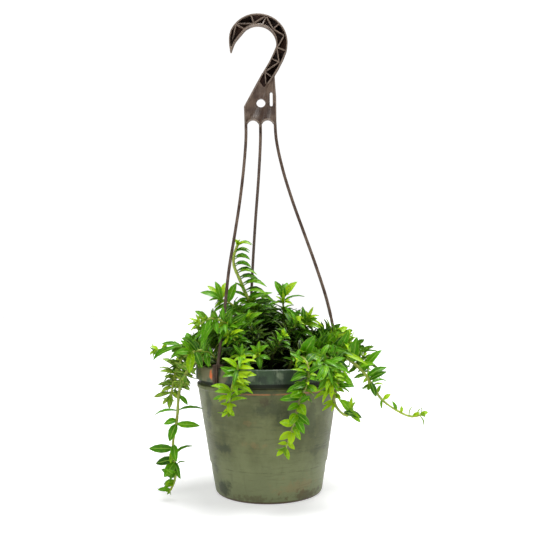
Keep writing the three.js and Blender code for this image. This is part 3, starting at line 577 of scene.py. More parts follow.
leaf_skin, tree, shader = new_material(
    "leaf_skin", IOR=1.45, Specular_IOR_Level=0.2,
    Subsurface_Weight=0.06, Subsurface_Scale=0.003, Subsurface_Radius=(0.5, 1.0, 0.15),
)
red, under, blue = growth_and_shade_of(tree)
age_and_shade = times(tree, red, AGE_AND_SHADE_TOP)
chance = maths(tree, "FRACT", times(tree, blue, 2.0))
worn = maths(tree, "GREATER_THAN", blue, 0.5)
uv = node(tree, "ShaderNodeUVMap", uv_map="leaf_uv").outputs["UV"]
across, along, _ = axes_of(tree, uv)
off_rib = maths(tree, "ABSOLUTE", maths(tree, "SUBTRACT", across, 0.5))
place = object_place(tree)
mottle = noise_of(tree, place, 420.0, 4.0, 0.6)

# %% [markdown]
# Young leaves are lime and grown ones a deep green. Leaves deep in the plant are painted nearly black: that
# is painted shade, added to the age. The age is shifted a little by chance and by a fine mottle. Undersides
# are paler. A worn leaf turns olive in patches and keeps a dark edge.
# %% Leaf colour by age
LEAF_YOUNG = tint(164, 204, 8)
LEAF_MID = tint(80, 148, 0)
LEAF_GROWN = tint(24, 72, 0)
LEAF_SHADED = tint(6, 18, 0)
LEAF_UNDER = tint(98, 140, 34)
LEAF_WORN = tint(150, 162, 72)

aged_and_shaded = maths(tree, "ADD", age_and_shade, times(tree, maths(tree, "SUBTRACT", mottle, 0.5), 0.6))
aged_and_shaded = maths(tree, "ADD", aged_and_shaded, times(tree, maths(tree, "SUBTRACT", chance, 0.5), 0.55))
colour = blend(tree, band(tree, aged_and_shaded, 0.05, 0.5), LEAF_YOUNG, LEAF_MID)
colour = blend(tree, band(tree, aged_and_shaded, 0.45, 1.0), colour, LEAF_GROWN)
# Painted shade: past a grown age the colour goes to the shaded green, nearly black.
colour = blend(tree, band(tree, aged_and_shaded, 0.9, 1.25), colour, LEAF_SHADED)
colour = blend(tree, times(tree, under, band(tree, aged_and_shaded, 0.9, 1.4, 0.75, 0.2)), colour, LEAF_UNDER)
colour = blend(tree, times(tree, worn, band(tree, mottle, 0.42, 0.58, 0.1, 0.9)), colour, LEAF_WORN)
worn_edge = times(tree, worn, band(tree, off_rib, 0.2, 0.4))
colour = blend(tree, times(tree, worn_edge, 0.6), colour, LEAF_GROWN)

# %% [markdown]
# The midrib is a line along the middle of the UV map. The side veins are a ping-pong wave that slants away
# from it. The leaf turns paler towards its margin, a painted highlight on its folded edges, and on a few
# leaves the margin is reddish.
# %% Midrib, veins and edge
VEIN_AND_SHEEN_PALE = tint(150, 196, 70)
EDGE_RED = tint(112, 92, 40)
VEINS_ALONG = 7.0
VEIN_SLANT = 5.0

rib = band(tree, off_rib, 0.085, 0.02)
colour = blend(tree, times(tree, rib, 0.7), colour, VEIN_AND_SHEEN_PALE)
slant = maths(tree, "SUBTRACT", times(tree, along, VEINS_ALONG), times(tree, off_rib, VEIN_SLANT))
side_veins = maths(tree, "PINGPONG", slant, 0.5)
vein = times(tree, band(tree, side_veins, 0.09, 0.0), band(tree, off_rib, 0.45, 0.1))
colour = blend(tree, times(tree, vein, 0.42), colour, VEIN_AND_SHEEN_PALE)
# Painted highlight: the leaf turns paler towards its margin, where its folded edges catch the light.
colour = blend(tree, band(tree, off_rib, 0.38, 0.5, 0.0, 0.4), colour, VEIN_AND_SHEEN_PALE)
rim = times(tree, band(tree, off_rib, 0.44, 0.5), band(tree, chance, 0.55, 0.8))
colour = blend(tree, times(tree, rim, 0.5), colour, EDGE_RED)
rough = band(tree, mottle, 0.3, 0.7, 0.28, 0.44)
rough = maths(tree, "ADD", rough, times(tree, under, 0.2))
grooves = maths(tree, "ADD", rib, times(tree, vein, 0.5))
height = maths(tree, "SUBTRACT", times(tree, mottle, 0.35), grooves)
finish_with(tree, shader, colour, rough, height, 0.4, 0.0005)

# %% [markdown]
# ## The stems' finish
#
# A young stem is green and grows brown bark from its root upwards, in patches. On a stem the growth_and_shade
# attribute's red says how far the bark has come, and its green how deep in the plant's shade it is, which is
# painted as a darker stem.
# %% Stem finish
STEM_GREEN = tint(160, 180, 66)
STEM_OLIVE = tint(124, 134, 60)
STEM_RED = tint(96, 70, 38)
STEM_SHADED = tint(18, 20, 8)

stem_skin, tree, shader = new_material(
    "stem_skin", IOR=1.45, Subsurface_Weight=0.1, Subsurface_Scale=0.002,
)
bark, shade, _ = growth_and_shade_of(tree)
place = object_place(tree)
patches = noise_of(tree, place, 130.0, 4.0, 0.6)
colour = blend(tree, band(tree, bark, 0.1, 0.55), STEM_GREEN, STEM_OLIVE)
weathered = times(tree, band(tree, patches, 0.5, 0.66), band(tree, bark, 0.1, 0.7, 0.1, 0.75))
colour = blend(tree, weathered, colour, STEM_RED)
colour = blend(tree, band(tree, shade, 0.3, 1.0, 0.0, 0.9), colour, STEM_SHADED)
rough = band(tree, patches, 0.3, 0.7, 0.42, 0.6)
finish_with(tree, shader, colour, rough, patches, 0.3, 0.0006)

# %% [markdown]
# ## The pot
#
# A nursery pot is one thin moulding that is round all the way. It could be cut from a cylinder, but a
# profile turned about its axis gives the band, the groove, the lip and the wall's faint rings in one go.
# The profile runs from the middle of the underside out and up the wall, over the rim and back down the
# inside. Under the pot a shallow channel lets water out between two rings.
# %% Pot details
CORNER_R = 5.5
CHANNEL_H = 2.5
CHANNEL_R = (21, 43)
CHANNEL_SIDE = 2
WALL_RINGS = [(20, 0), (23, 0.25), (34, -0.1), (37, 0.9), (52, 0.65), (80, 0.45)]
GROOVE_IN = 1.2
LIP_OUT = 1.1
BAND_ROOT_H = 9
BAND_WALL = 1.5
RIM_WIDTH = 4.9


def wall_radius(z):
    """The outer radius of the pot's wall at a height."""
    return FOOT_WALL_R + WALL_SLOPE * z


def arc(centre, radius, start, end, steps):
    """Points on an arc from one angle to the other, in degrees."""
    angles = [math.radians(start + (end - start) * i / steps) for i in range(steps + 1)]
    return [(centre[0] + radius * math.cos(a), centre[1] + radius * math.sin(a)) for a in angles]


# %% Pot profile
groove_r = wall_radius(lip_foot) - GROOVE_IN
lip_r = wall_radius(lip_foot) + LIP_OUT
outside = [(0, 0), (CHANNEL_R[0] - CHANNEL_SIDE, 0), (CHANNEL_R[0], CHANNEL_H)]
outside += [(CHANNEL_R[1], CHANNEL_H), (CHANNEL_R[1] + CHANNEL_SIDE, 0)]
outside += arc((wall_radius(CORNER_R) - CORNER_R, CORNER_R), CORNER_R, -90, 0, 6)
outside += [(wall_radius(z) + swell, z) for z, swell in WALL_RINGS]
outside += [(wall_radius(lip_foot), lip_foot), (lip_r, lip_foot + 0.8), (lip_r, lip_top - 0.6)]
outside += [(groove_r, lip_top), (groove_r, band_foot + BAND_ROOT_H)]
outside += [(RIM_R - BAND_WALL - 0.2, band_foot + BAND_ROOT_H), (RIM_R - BAND_WALL, band_foot)]
outside += [(RIM_R, band_foot), (RIM_R, RIM_TOP - 1), (RIM_R - 0.9, RIM_TOP)]
inside = [(RIM_R - RIM_WIDTH + 0.7, RIM_TOP), (RIM_R - RIM_WIDTH, RIM_TOP - 0.8)]
inside += [(groove_r - WALL, lip_top), (wall_radius(lip_foot) - WALL, lip_foot - 4)]
inside += [(wall_radius(6) - WALL - 1.5, CHANNEL_H + WALL), (0, CHANNEL_H + WALL)]
print("pot profile has", len(outside) + len(inside), "points")


# %% Turn the profile
def turned(profile, steps):
    """A closed body from a profile that starts and ends on the Z axis."""
    bm = bmesh.new()
    verts = [bm.verts.new((r * MM, 0, z * MM)) for r, z in profile]
    edges = [bm.edges.new(pair) for pair in zip(verts, verts[1:])]
    bmesh.ops.spin(bm, geom=verts + edges, axis=(0, 0, 1), angle=2 * math.pi, steps=steps, use_merge=True)
    bmesh.ops.remove_doubles(bm, verts=bm.verts, dist=0.01 * MM)
    bmesh.ops.recalc_face_normals(bm, faces=bm.faces)
    return bm


# %% [markdown]
# The thin wall isn't perfectly round: it is pressed in a little where it was gripped, and the rim waves
# slightly between the clips. It could be sculpted by hand. A slow push of the vertices does the same and
# can be repeated, and it fades to nothing at the stiff base. A pressed place is its middle, its reach and
# its depth.
# %% Pot body
POT_STEPS = 160
PRESSED = [
    ((-38, -52, 46), 16, 0.5),
    ((-4, -70, 98), 15, 0.45),
    ((-55, -42, 84), 18, 0.5),
    ((30, -62, 66), 26, 0.4),
]
WAVE_DEPTH = 0.18
WAVE_SCALE = 22
STIFF_R = 50
STIFF_H = 12

bm = turned(outside + inside, POT_STEPS)
for v in bm.verts:
    outward = Vector((v.co.x, v.co.y, 0))
    if outward.length < STIFF_R * MM:
        continue
    push = WAVE_DEPTH * noise.noise(v.co * WAVE_SCALE)
    for centre, reach_mm, depth in PRESSED:
        near = (v.co - Vector(centre) * MM).length / (reach_mm * MM)
        push -= depth * math.exp(-near * near)
    v.co += outward.normalized() * push * MM * min(1, v.co.z / (STIFF_H * MM))
pot = object_from(bm, "pot_moulding", [pot_plastic])

# %% [markdown]
# The drain holes are cylinders that are cut out of the channel. The bevel comes after them, so that it
# rounds their edges too.
# %% Drain holes
DRAIN_HOLES = 8
DRAIN_R = 4.0
DRAIN_CIRCLE_R = 32.0
DRAIN_CUT_H = 12

tools = []
for i in range(DRAIN_HOLES):
    angle = (i + 0.5) * 2 * math.pi / DRAIN_HOLES
    place = Vector((DRAIN_CIRCLE_R * math.cos(angle), DRAIN_CIRCLE_R * math.sin(angle), 3)) * MM
    bm = bmesh.new()
    sizes = {"radius1": DRAIN_R * MM, "radius2": DRAIN_R * MM, "depth": DRAIN_CUT_H * MM}
    bmesh.ops.create_cone(bm, cap_ends=True, segments=24, matrix=Matrix.Translation(place), **sizes)
    tools.append(object_from(bm, "drain_tool", [], smooth=False))
cut_or_join(pot, tools, "DIFFERENCE")
round_edges(pot, 0.35, 35)
settle(pot, "pot")

# %% [markdown]
# ## The soil
#
# The soil is a plug that fills the pot, turned from a profile as the pot is. Its top is uneven, and crumbs
# of peat and bark lie on it. The crumbs could be scattered by Geometry Nodes. They are small ico spheres
# in the same mesh here, squashed and turned by chance, because the whole plug is one piece. The numbers
# come from a small source of its own, so that the soil is the same each time.
# %% Chance numbers
def chance_from(seed):
    """A small repeatable source of numbers from 0 to 1."""
    state = seed

    def draw():
        nonlocal state
        state = (state * 1664525 + 1013904223) % 4294967296
        return state / 4294967296
    return draw


# %% Soil body
GAP = 0.3
SOIL_TOP = 131.0
SOIL_DOME = 2

floor_z = CHANNEL_H + WALL + GAP
edge_r = groove_r - WALL - GAP - 0.5
soil_profile = [(0, floor_z), (wall_radius(6) - WALL - 3.5, floor_z)]
soil_profile += [(wall_radius(lip_foot - 8) - WALL - 1.8, lip_foot - 8), (edge_r, SOIL_TOP - 2)]
for i in range(1, 16):
    soil_profile.append((edge_r * (1 - i / 16), SOIL_TOP + SOIL_DOME * math.sin(math.pi * i / 32)))
soil_profile += [(0, SOIL_TOP + SOIL_DOME)]
bm = turned(soil_profile, 96)
for v in bm.verts:
    if v.co.z > (SOIL_TOP - 1) * MM:
        v.co.z += (2.6 * noise.noise(v.co * 60) + 1.2 * noise.noise(v.co * 210) - 0.6) * MM

# %% Crumbs
CRUMBS = 520
CRUMB_SEED = 11

draw = chance_from(CRUMB_SEED)
for _ in range(CRUMBS):
    r = edge_r * math.sqrt(draw()) * 0.97
    angle = 2 * math.pi * draw()
    size = 0.7 + 2.0 * draw() ** 3
    z = SOIL_TOP + 1.2 - 1.5 * draw()
    place = Matrix.Translation(Vector((r * math.cos(angle), r * math.sin(angle), z)) * MM)
    spin = Matrix.Rotation(2 * math.pi * draw(), 4, (draw() - 0.5, draw() - 0.5, 0.3))
    shape = Matrix.Diagonal((1.0 + draw(), 0.8, 0.5 + 0.4 * draw(), 1.0))
    bmesh.ops.create_icosphere(bm, subdivisions=1, radius=size * MM, matrix=place @ spin @ shape)
soil = object_from(bm, "soil_plug", [soil_mix])
settle(soil, "soil")

# %% [markdown]
# ## The hanger
#
# The hanger is one moulding of brown plastic. Its hook is a curved bar with a pocket in each face and
# zigzag ribs across the pocket, which make it stiff with little plastic. Below it is a flat plate with a
# round hole and a slot, and from the plate three strands run down to ribbed clips on the rim. The hook
# could be a curve object with a bevel, but its width changes on the way. So it is a ribbon: a middle line
# with a half width at each point, which gives both its outline and its pocket.
# %% Hook sizes
HOOK_CENTRE = (-7.6, 528.2)
HOOK_R = 29.1
HOOK_HALF_WIDTH = 6.8
HOOK_HALF_DEPTH = 3.9
WEB_HALF_DEPTH = 0.9
FLANGE = 1.5
RIB_WIDTH = 1.5
RIB_HALF_DEPTH = 3.4
HOOK_TIP = [
    (-39.9, 518.4, 0.9), (-39.8, 521, 1.4), (-39.4, 524.5, 2.3), (-38.8, 528.6, 3.2),
    (-37.8, 532.8, 4.3), (-36.3, 536.8, 5.5), (-34.4, 540.7, 6.4),
]
HOOK_STEM = [(17, 512, 6.9), (11.5, 501, 6.8), (4.6, 489.5, 6.8)]
HOOK_RIBS = [
    ((-38.6, 526.6), (-33.4, 551.6)), ((-33, 551), (-23.3, 545.4)), ((-33, 552), (-12.6, 551.8)),
    ((-15.4, 562.6), (-11.6, 551.8)), ((-11.6, 552.6), (1.6, 560.6)), ((2.6, 559.6), (-1.2, 551)),
    ((3.4, 559.8), (10.6, 545.6)), ((11.4, 545.4), (18.4, 551.2)), ((11.4, 544.6), (24.2, 537)),
    ((24.2, 536.6), (16, 522.6)), ((15.4, 522.4), (26, 518.2)), ((15.4, 521.4), (17.6, 504.6)),
    ((9.4, 508.8), (17.2, 504.6)), ((17.4, 504.2), (0.4, 492.8)), ((0.4, 492.4), (8.2, 487.4)),
    ((0.6, 491.6), (1.8, 478.2)),
]

hook_bend = [(x, z, HOOK_HALF_WIDTH) for x, z in arc(HOOK_CENTRE, HOOK_R, 146, -16, 38)]
hook_line = [*HOOK_TIP, *hook_bend, *HOOK_STEM]
print("the hook's line has", len(hook_line), "points")


# %% Flat shapes
def slab(outline, half_depth, shift=0.0):
    """A flat outline of (x, z) points in millimetres, thick to both sides of the plane of the hook."""
    bm = bmesh.new()
    corners = [bm.verts.new(Vector((x, shift - half_depth, z)) * MM) for x, z in outline]
    face = bm.faces.new(corners)
    made = bmesh.ops.extrude_face_region(bm, geom=[face])
    moved = [v for v in made["geom"] if isinstance(v, bmesh.types.BMVert)]
    bmesh.ops.translate(bm, verts=moved, vec=(0, 2 * half_depth * MM, 0))
    bmesh.ops.recalc_face_normals(bm, faces=bm.faces)
    return object_from(bm, "slab", [hanger_plastic], smooth=False)


def ribbon_outline(ribbon, margin):
    """The two sides of a ribbon, moved in by a margin, as one closed outline."""
    left, right = [], []
    for i, (x, z, width) in enumerate(ribbon):
        ax, az, _ = ribbon[max(0, i - 1)]
        bx, bz, _ = ribbon[min(len(ribbon) - 1, i + 1)]
        length = math.hypot(bx - ax, bz - az)
        half = max(0.3, width - margin)
        nx, nz = -(bz - az) / length * half, (bx - ax) / length * half
        left.append((x + nx, z + nz))
        right.append((x - nx, z - nz))
    return left + right[::-1]


def bar(start, end, width, half_depth):
    """A straight bar between two points in the plane of the hook."""
    (x0, z0), (x1, z1) = start, end
    length = math.hypot(x1 - x0, z1 - z0)
    nx, nz = (z1 - z0) / length * width / 2, -(x1 - x0) / length * width / 2
    return slab([(x0 - nx, z0 - nz), (x0 + nx, z0 + nz), (x1 + nx, z1 + nz), (x1 - nx, z1 - nz)], half_depth)


# %% [markdown]
# The hook's bar is cut by slabs that fill its pockets, which leaves a thin web between two flanges. Then
# the ribs are joined on. The plate will be cut by the same slabs, since the lowest pocket reaches into it.
# %% Hook
POCKET_CORNER = [(0, 492.2), (-6.1, 481.9), (-1.3, 475), (0.4, 475), (9.2, 487)]
POCKET_CUT = 1.5


def hook_pockets():
    """Slabs that fill the pockets in the hook's two faces, down to the corner where it joins the plate."""
    outlines = [ribbon_outline([*hook_line[2:], (1.4, 478.5, 2)], FLANGE), POCKET_CORNER]
    shift = WEB_HALF_DEPTH + POCKET_CUT
    return [slab(outline, POCKET_CUT, side * shift) for side in (-1, 1) for outline in outlines]


hanger = slab(ribbon_outline([*hook_line, (0.6, 480, 4.6)], 0), HOOK_HALF_DEPTH)
hanger.name = "hanger_moulding"
cut_or_join(hanger, hook_pockets(), "DIFFERENCE")
cut_or_join(hanger, [bar(a, b, RIB_WIDTH, RIB_HALF_DEPTH) for a, b in HOOK_RIBS], "UNION")
print("hook has", len(hanger.data.polygons), "faces")

# %% [markdown]
# The plate is thinner than the hook and has a raised border, so it is a flat kite with thin bars along its
# edges. Two arches separate the roots of the three strands.
# %% Plate
PLATE_HALF_DEPTH = 2.2
PLATE_BOTTOM = 431
PLATE_LEFT = -24.6
PLATE_RIGHT = 13.9
BORDER_WIDTH = 1.4
BORDER_DEPTH = PLATE_HALF_DEPTH + 0.6
ARCH_Z = 428.4
ARCH_X = (-14.3, 3.2)
ARCH_R = 7.0
KITE = [
    (PLATE_LEFT + 0.2, PLATE_BOTTOM), (PLATE_RIGHT - 0.1, PLATE_BOTTOM), (PLATE_RIGHT, 462), (12.2, 489),
    (9.6, 492.6), (-2.4, 492), (-9.2, 480), (PLATE_LEFT - 0.2, 451.4),
]
BORDERS = [
    ((PLATE_RIGHT - 0.8, PLATE_BOTTOM), (PLATE_RIGHT - 0.7, 462)),
    ((PLATE_RIGHT - 0.8, 461.5), (11.6, 489)),
    ((PLATE_LEFT + 0.9, PLATE_BOTTOM), (PLATE_LEFT + 0.7, 451.3)),
    ((PLATE_LEFT + 0.9, 451), (-1.9, 491)),
]

plate = slab(KITE, PLATE_HALF_DEPTH)
borders = [bar(a, b, BORDER_WIDTH, BORDER_DEPTH) for a, b in BORDERS]
for x in ARCH_X:
    outer = arc((x, ARCH_Z), ARCH_R + BORDER_WIDTH, 0, 180, 20)
    borders.append(slab(outer + arc((x, ARCH_Z), ARCH_R, 180, 0, 20), BORDER_DEPTH))
cut_or_join(plate, borders, "UNION")

# %% Holes in the plate
HOLE_CENTRE = (-4.5, 455.6)
HOLE_R = 5.4
SLOT_X = 7.9
SLOT_Z = (453, 467.5)
SLOT_R = 1.7
THROUGH = 10

holes = []
for x in ARCH_X:
    arch = arc((x, ARCH_Z), ARCH_R, 0, 180, 20)
    holes.append(slab([*arch, (x - ARCH_R, 415), (x + ARCH_R, 415)], THROUGH))
holes.append(slab([(-40, 400), (40, 400), (40, PLATE_BOTTOM), (-40, PLATE_BOTTOM)], THROUGH))
holes.append(slab(arc(HOLE_CENTRE, HOLE_R, 0, 350, 35), THROUGH))
slot_top = arc((SLOT_X, SLOT_Z[1]), SLOT_R, 0, 180, 10)
holes.append(slab(slot_top + arc((SLOT_X, SLOT_Z[0]), SLOT_R, 180, 360, 10), THROUGH))
cut_or_join(plate, [*holes, *hook_pockets()], "DIFFERENCE")
print("plate has", len(plate.data.polygons), "faces")

# %% [markdown]
# The strands follow smooth routes through a few points. The same kind of curve, which passes through every
# point and never loops between them, also carries the stems of the plant. Its points are then spaced
# evenly along its length.
# %% Smooth routes
def route_point(points, t):
    """A point on the smooth curve through the points, where t runs from 0 to 1 over all of them."""
    last = len(points) - 1
    whole = min(int(t * last), last - 1)
    part = t * last - whole
    p1, p2 = points[whole], points[whole + 1]
    p0 = points[whole - 1] if whole > 0 else p1 + p1 - p2
    p3 = points[whole + 2] if whole + 2 <= last else p2 + p2 - p1
    d0, d1, d2 = (max(1e-4, math.sqrt((b - a).length)) for a, b in ((p0, p1), (p1, p2), (p2, p3)))
    start = ((p1 - p0) / d0 - (p2 - p0) / (d0 + d1) + (p2 - p1) / d1) * d1
    end = ((p2 - p1) / d1 - (p3 - p1) / (d1 + d2) + (p3 - p2) / d2) * d1
    c2 = 3 * (p2 - p1) - 2 * start - end
    c3 = 2 * (p1 - p2) + start + end
    return p1 + start * part + c2 * part * part + c3 * part ** 3


ROUTE_SAMPLES = 200


def spaced_route(points, steps=None, step_length=5.0):
    """Points at even distances along the smooth curve, and its length."""
    points = [Vector(p) for p in points]
    samples = [route_point(points, i / ROUTE_SAMPLES) for i in range(ROUTE_SAMPLES + 1)]
    lengths = [0.0]
    for a, b in zip(samples, samples[1:]):
        lengths.append(lengths[-1] + (b - a).length)
    steps = steps or max(6, round(lengths[-1] / step_length))
    spaced, at = [], 0
    for i in range(steps + 1):
        wanted = lengths[-1] * i / steps
        while at < ROUTE_SAMPLES - 1 and lengths[at + 1] < wanted:
            at += 1
        part = (wanted - lengths[at]) / (lengths[at + 1] - lengths[at])
        spaced.append(route_point(points, min(1.0, (at + part) / ROUTE_SAMPLES)))
    return spaced, lengths[-1]


# %% Strands
STRAND_R = 1.9
STRAND_STEP = 7.0
STRAND_ROUTES = [
    [
        (-22.7, 0, 434), (-22.8, -2, 413), (-25.6, -10, 375), (-30.2, -18, 335), (-36.4, -28, 293),
        (-42.3, -36, 256), (-46.8, -46, 213), (-50.2, -53, 182), (-53, -59.6, 158), (-54, -61.4, 149),
    ],
    [
        (-5.4, 0, 434), (-5.5, 2, 413), (-8.1, 13, 372), (-13.3, 30, 314), (-17.4, 46, 260),
        (-21.2, 64, 202), (-24.6, 74.6, 162), (-25.8, 77.6, 149),
    ],
    [
        (12, 0, 434), (13.4, -1, 411), (20.5, -3.6, 375), (32, -7, 335), (44.2, -9.6, 299),
        (58, -12.6, 258), (69.6, -14.6, 219), (77.2, -15.8, 182), (80, -16.2, 160), (80.4, -16.4, 149),
    ],
]

strands = []
for route in STRAND_ROUTES:
    points, length = spaced_route(route, step_length=STRAND_STEP)
    bm = bmesh.new()
    tube(bm, points, [STRAND_R] * len(points), 10, flatten=0.92)
    strands.append(object_from(bm, "strand", [hanger_plastic]))
    print("strand is", round(length), "mm long")

# %% [markdown]
# A clip is a flat finger over the rim with two grooves down its outside, a bridge on top and a short
# finger inside. Three boxes make it. They are given as if the clip stood on +X, and are turned about the
# pot's axis to its place on the rim.
# %% Clips
CLIP_DEGREES = (-131.5, -251.5, -11.5)
CLIP_HALF_WIDTH = 3.3
CLIP_DEPTH = 2.4
CLIP_TOP = RIM_TOP + 4.2
FINGER_H = 11
GROOVE_Y = (-1.1, 1.1)


def block(low, high, degrees):
    """A box between two corners in millimetres, turned about the pot's axis."""
    bm = bmesh.new()
    low, high = Vector(low), Vector(high)
    size = Matrix.Diagonal([*(high - low), 1.0])
    turn = Matrix.Rotation(math.radians(degrees), 4, "Z")
    place = Matrix.Scale(MM, 4) @ turn @ Matrix.Translation((low + high) / 2) @ size
    bmesh.ops.create_cube(bm, size=1.0, matrix=place)
    return object_from(bm, "block", [hanger_plastic], smooth=False)


def clip(degrees):
    """One clip, from its box outside the rim, its bridge and its inner finger."""
    w = CLIP_HALF_WIDTH
    out = RIM_R + GAP
    inner = RIM_R - RIM_WIDTH - GAP - 0.4
    made = block((out, -w, band_foot - 0.4), (out + CLIP_DEPTH, w, CLIP_TOP), degrees)
    bridge = block((inner - 2, -w, RIM_TOP + GAP), (out + CLIP_DEPTH, w, CLIP_TOP), degrees)
    finger = block((inner - 2, -w, RIM_TOP - FINGER_H), (inner, w, CLIP_TOP), degrees)
    cut_or_join(made, [bridge, finger], "UNION")
    grooves = []
    for y in GROOVE_Y:
        grooves.append(block((out + 1.5, y - 0.45, 100), (out + 5, y + 0.45, CLIP_TOP - 1.5), degrees))
    cut_or_join(made, grooves, "DIFFERENCE")
    return made


# %% [markdown]
# Now the parts of the hanger become one moulding. The floors of its pockets get the darker finish, which is
# painted shade in the recesses: they are the faces that lie on the web and look to the front or the back.
# %% One moulding
cut_or_join(hanger, [plate, *strands, *[clip(degrees) for degrees in CLIP_DEGREES]], "UNION")
hanger.data.materials.append(hanger_pocket_shade)
# The pocket floors take the painted shade finish.
for face in hanger.data.polygons:
    off_web = abs(abs(face.center.y) - WEB_HALF_DEPTH * MM)
    if off_web < 0.05 * MM and abs(face.normal.y) > 0.9:
        face.material_index = len(hanger.data.materials) - 1
round_edges(hanger, 0.3, 40)
settle(hanger, "hanger")

# %% [markdown]
# ## The stems
#
# Every stem has its own route: it starts at its hole in the soil, which has two numbers, and goes on through
# a few points. The plant could be grown by rule alone, but then it would be another plant.
# So the leaves that show against the light ground are listed one by one. These are the singles. The extras
# are small ones that lie among other leaves. Both give the leaf's place along the stem, the point of its
# tip, its width, how far its face leans to the front in degrees, and, where it is paler or darker than its
# age makes it, by how much. Other stems get pairs of leaves by rule, with their number, their size and the
# place from which they stand. One stem is a comb: all its leaves sweep to one side.
#
# Side leaves fill each stem up to the place called fill, more of them where it is dense, and fill_size
# makes them longer. Young makes a stem's leaves limier, slim makes them narrower, and worn is the place up
# to which they are olive. Tuft is the size of the leaves at the tip, and thick and bark say how stout and
# how brown the stem is.
# %% What a stem has where its list says nothing
USUAL = {
    "singles": [], "extras": [],
    "pairs": 0, "size": 28, "from": 0.34, "comb": False,
    "fill": None, "dense": 1.0, "fill_size": 1.0,
    "young": 0.0, "slim": 1.0, "worn": 0.0, "tuft": 1.0,
    "thick": 1.0, "bark": 1.0,
}

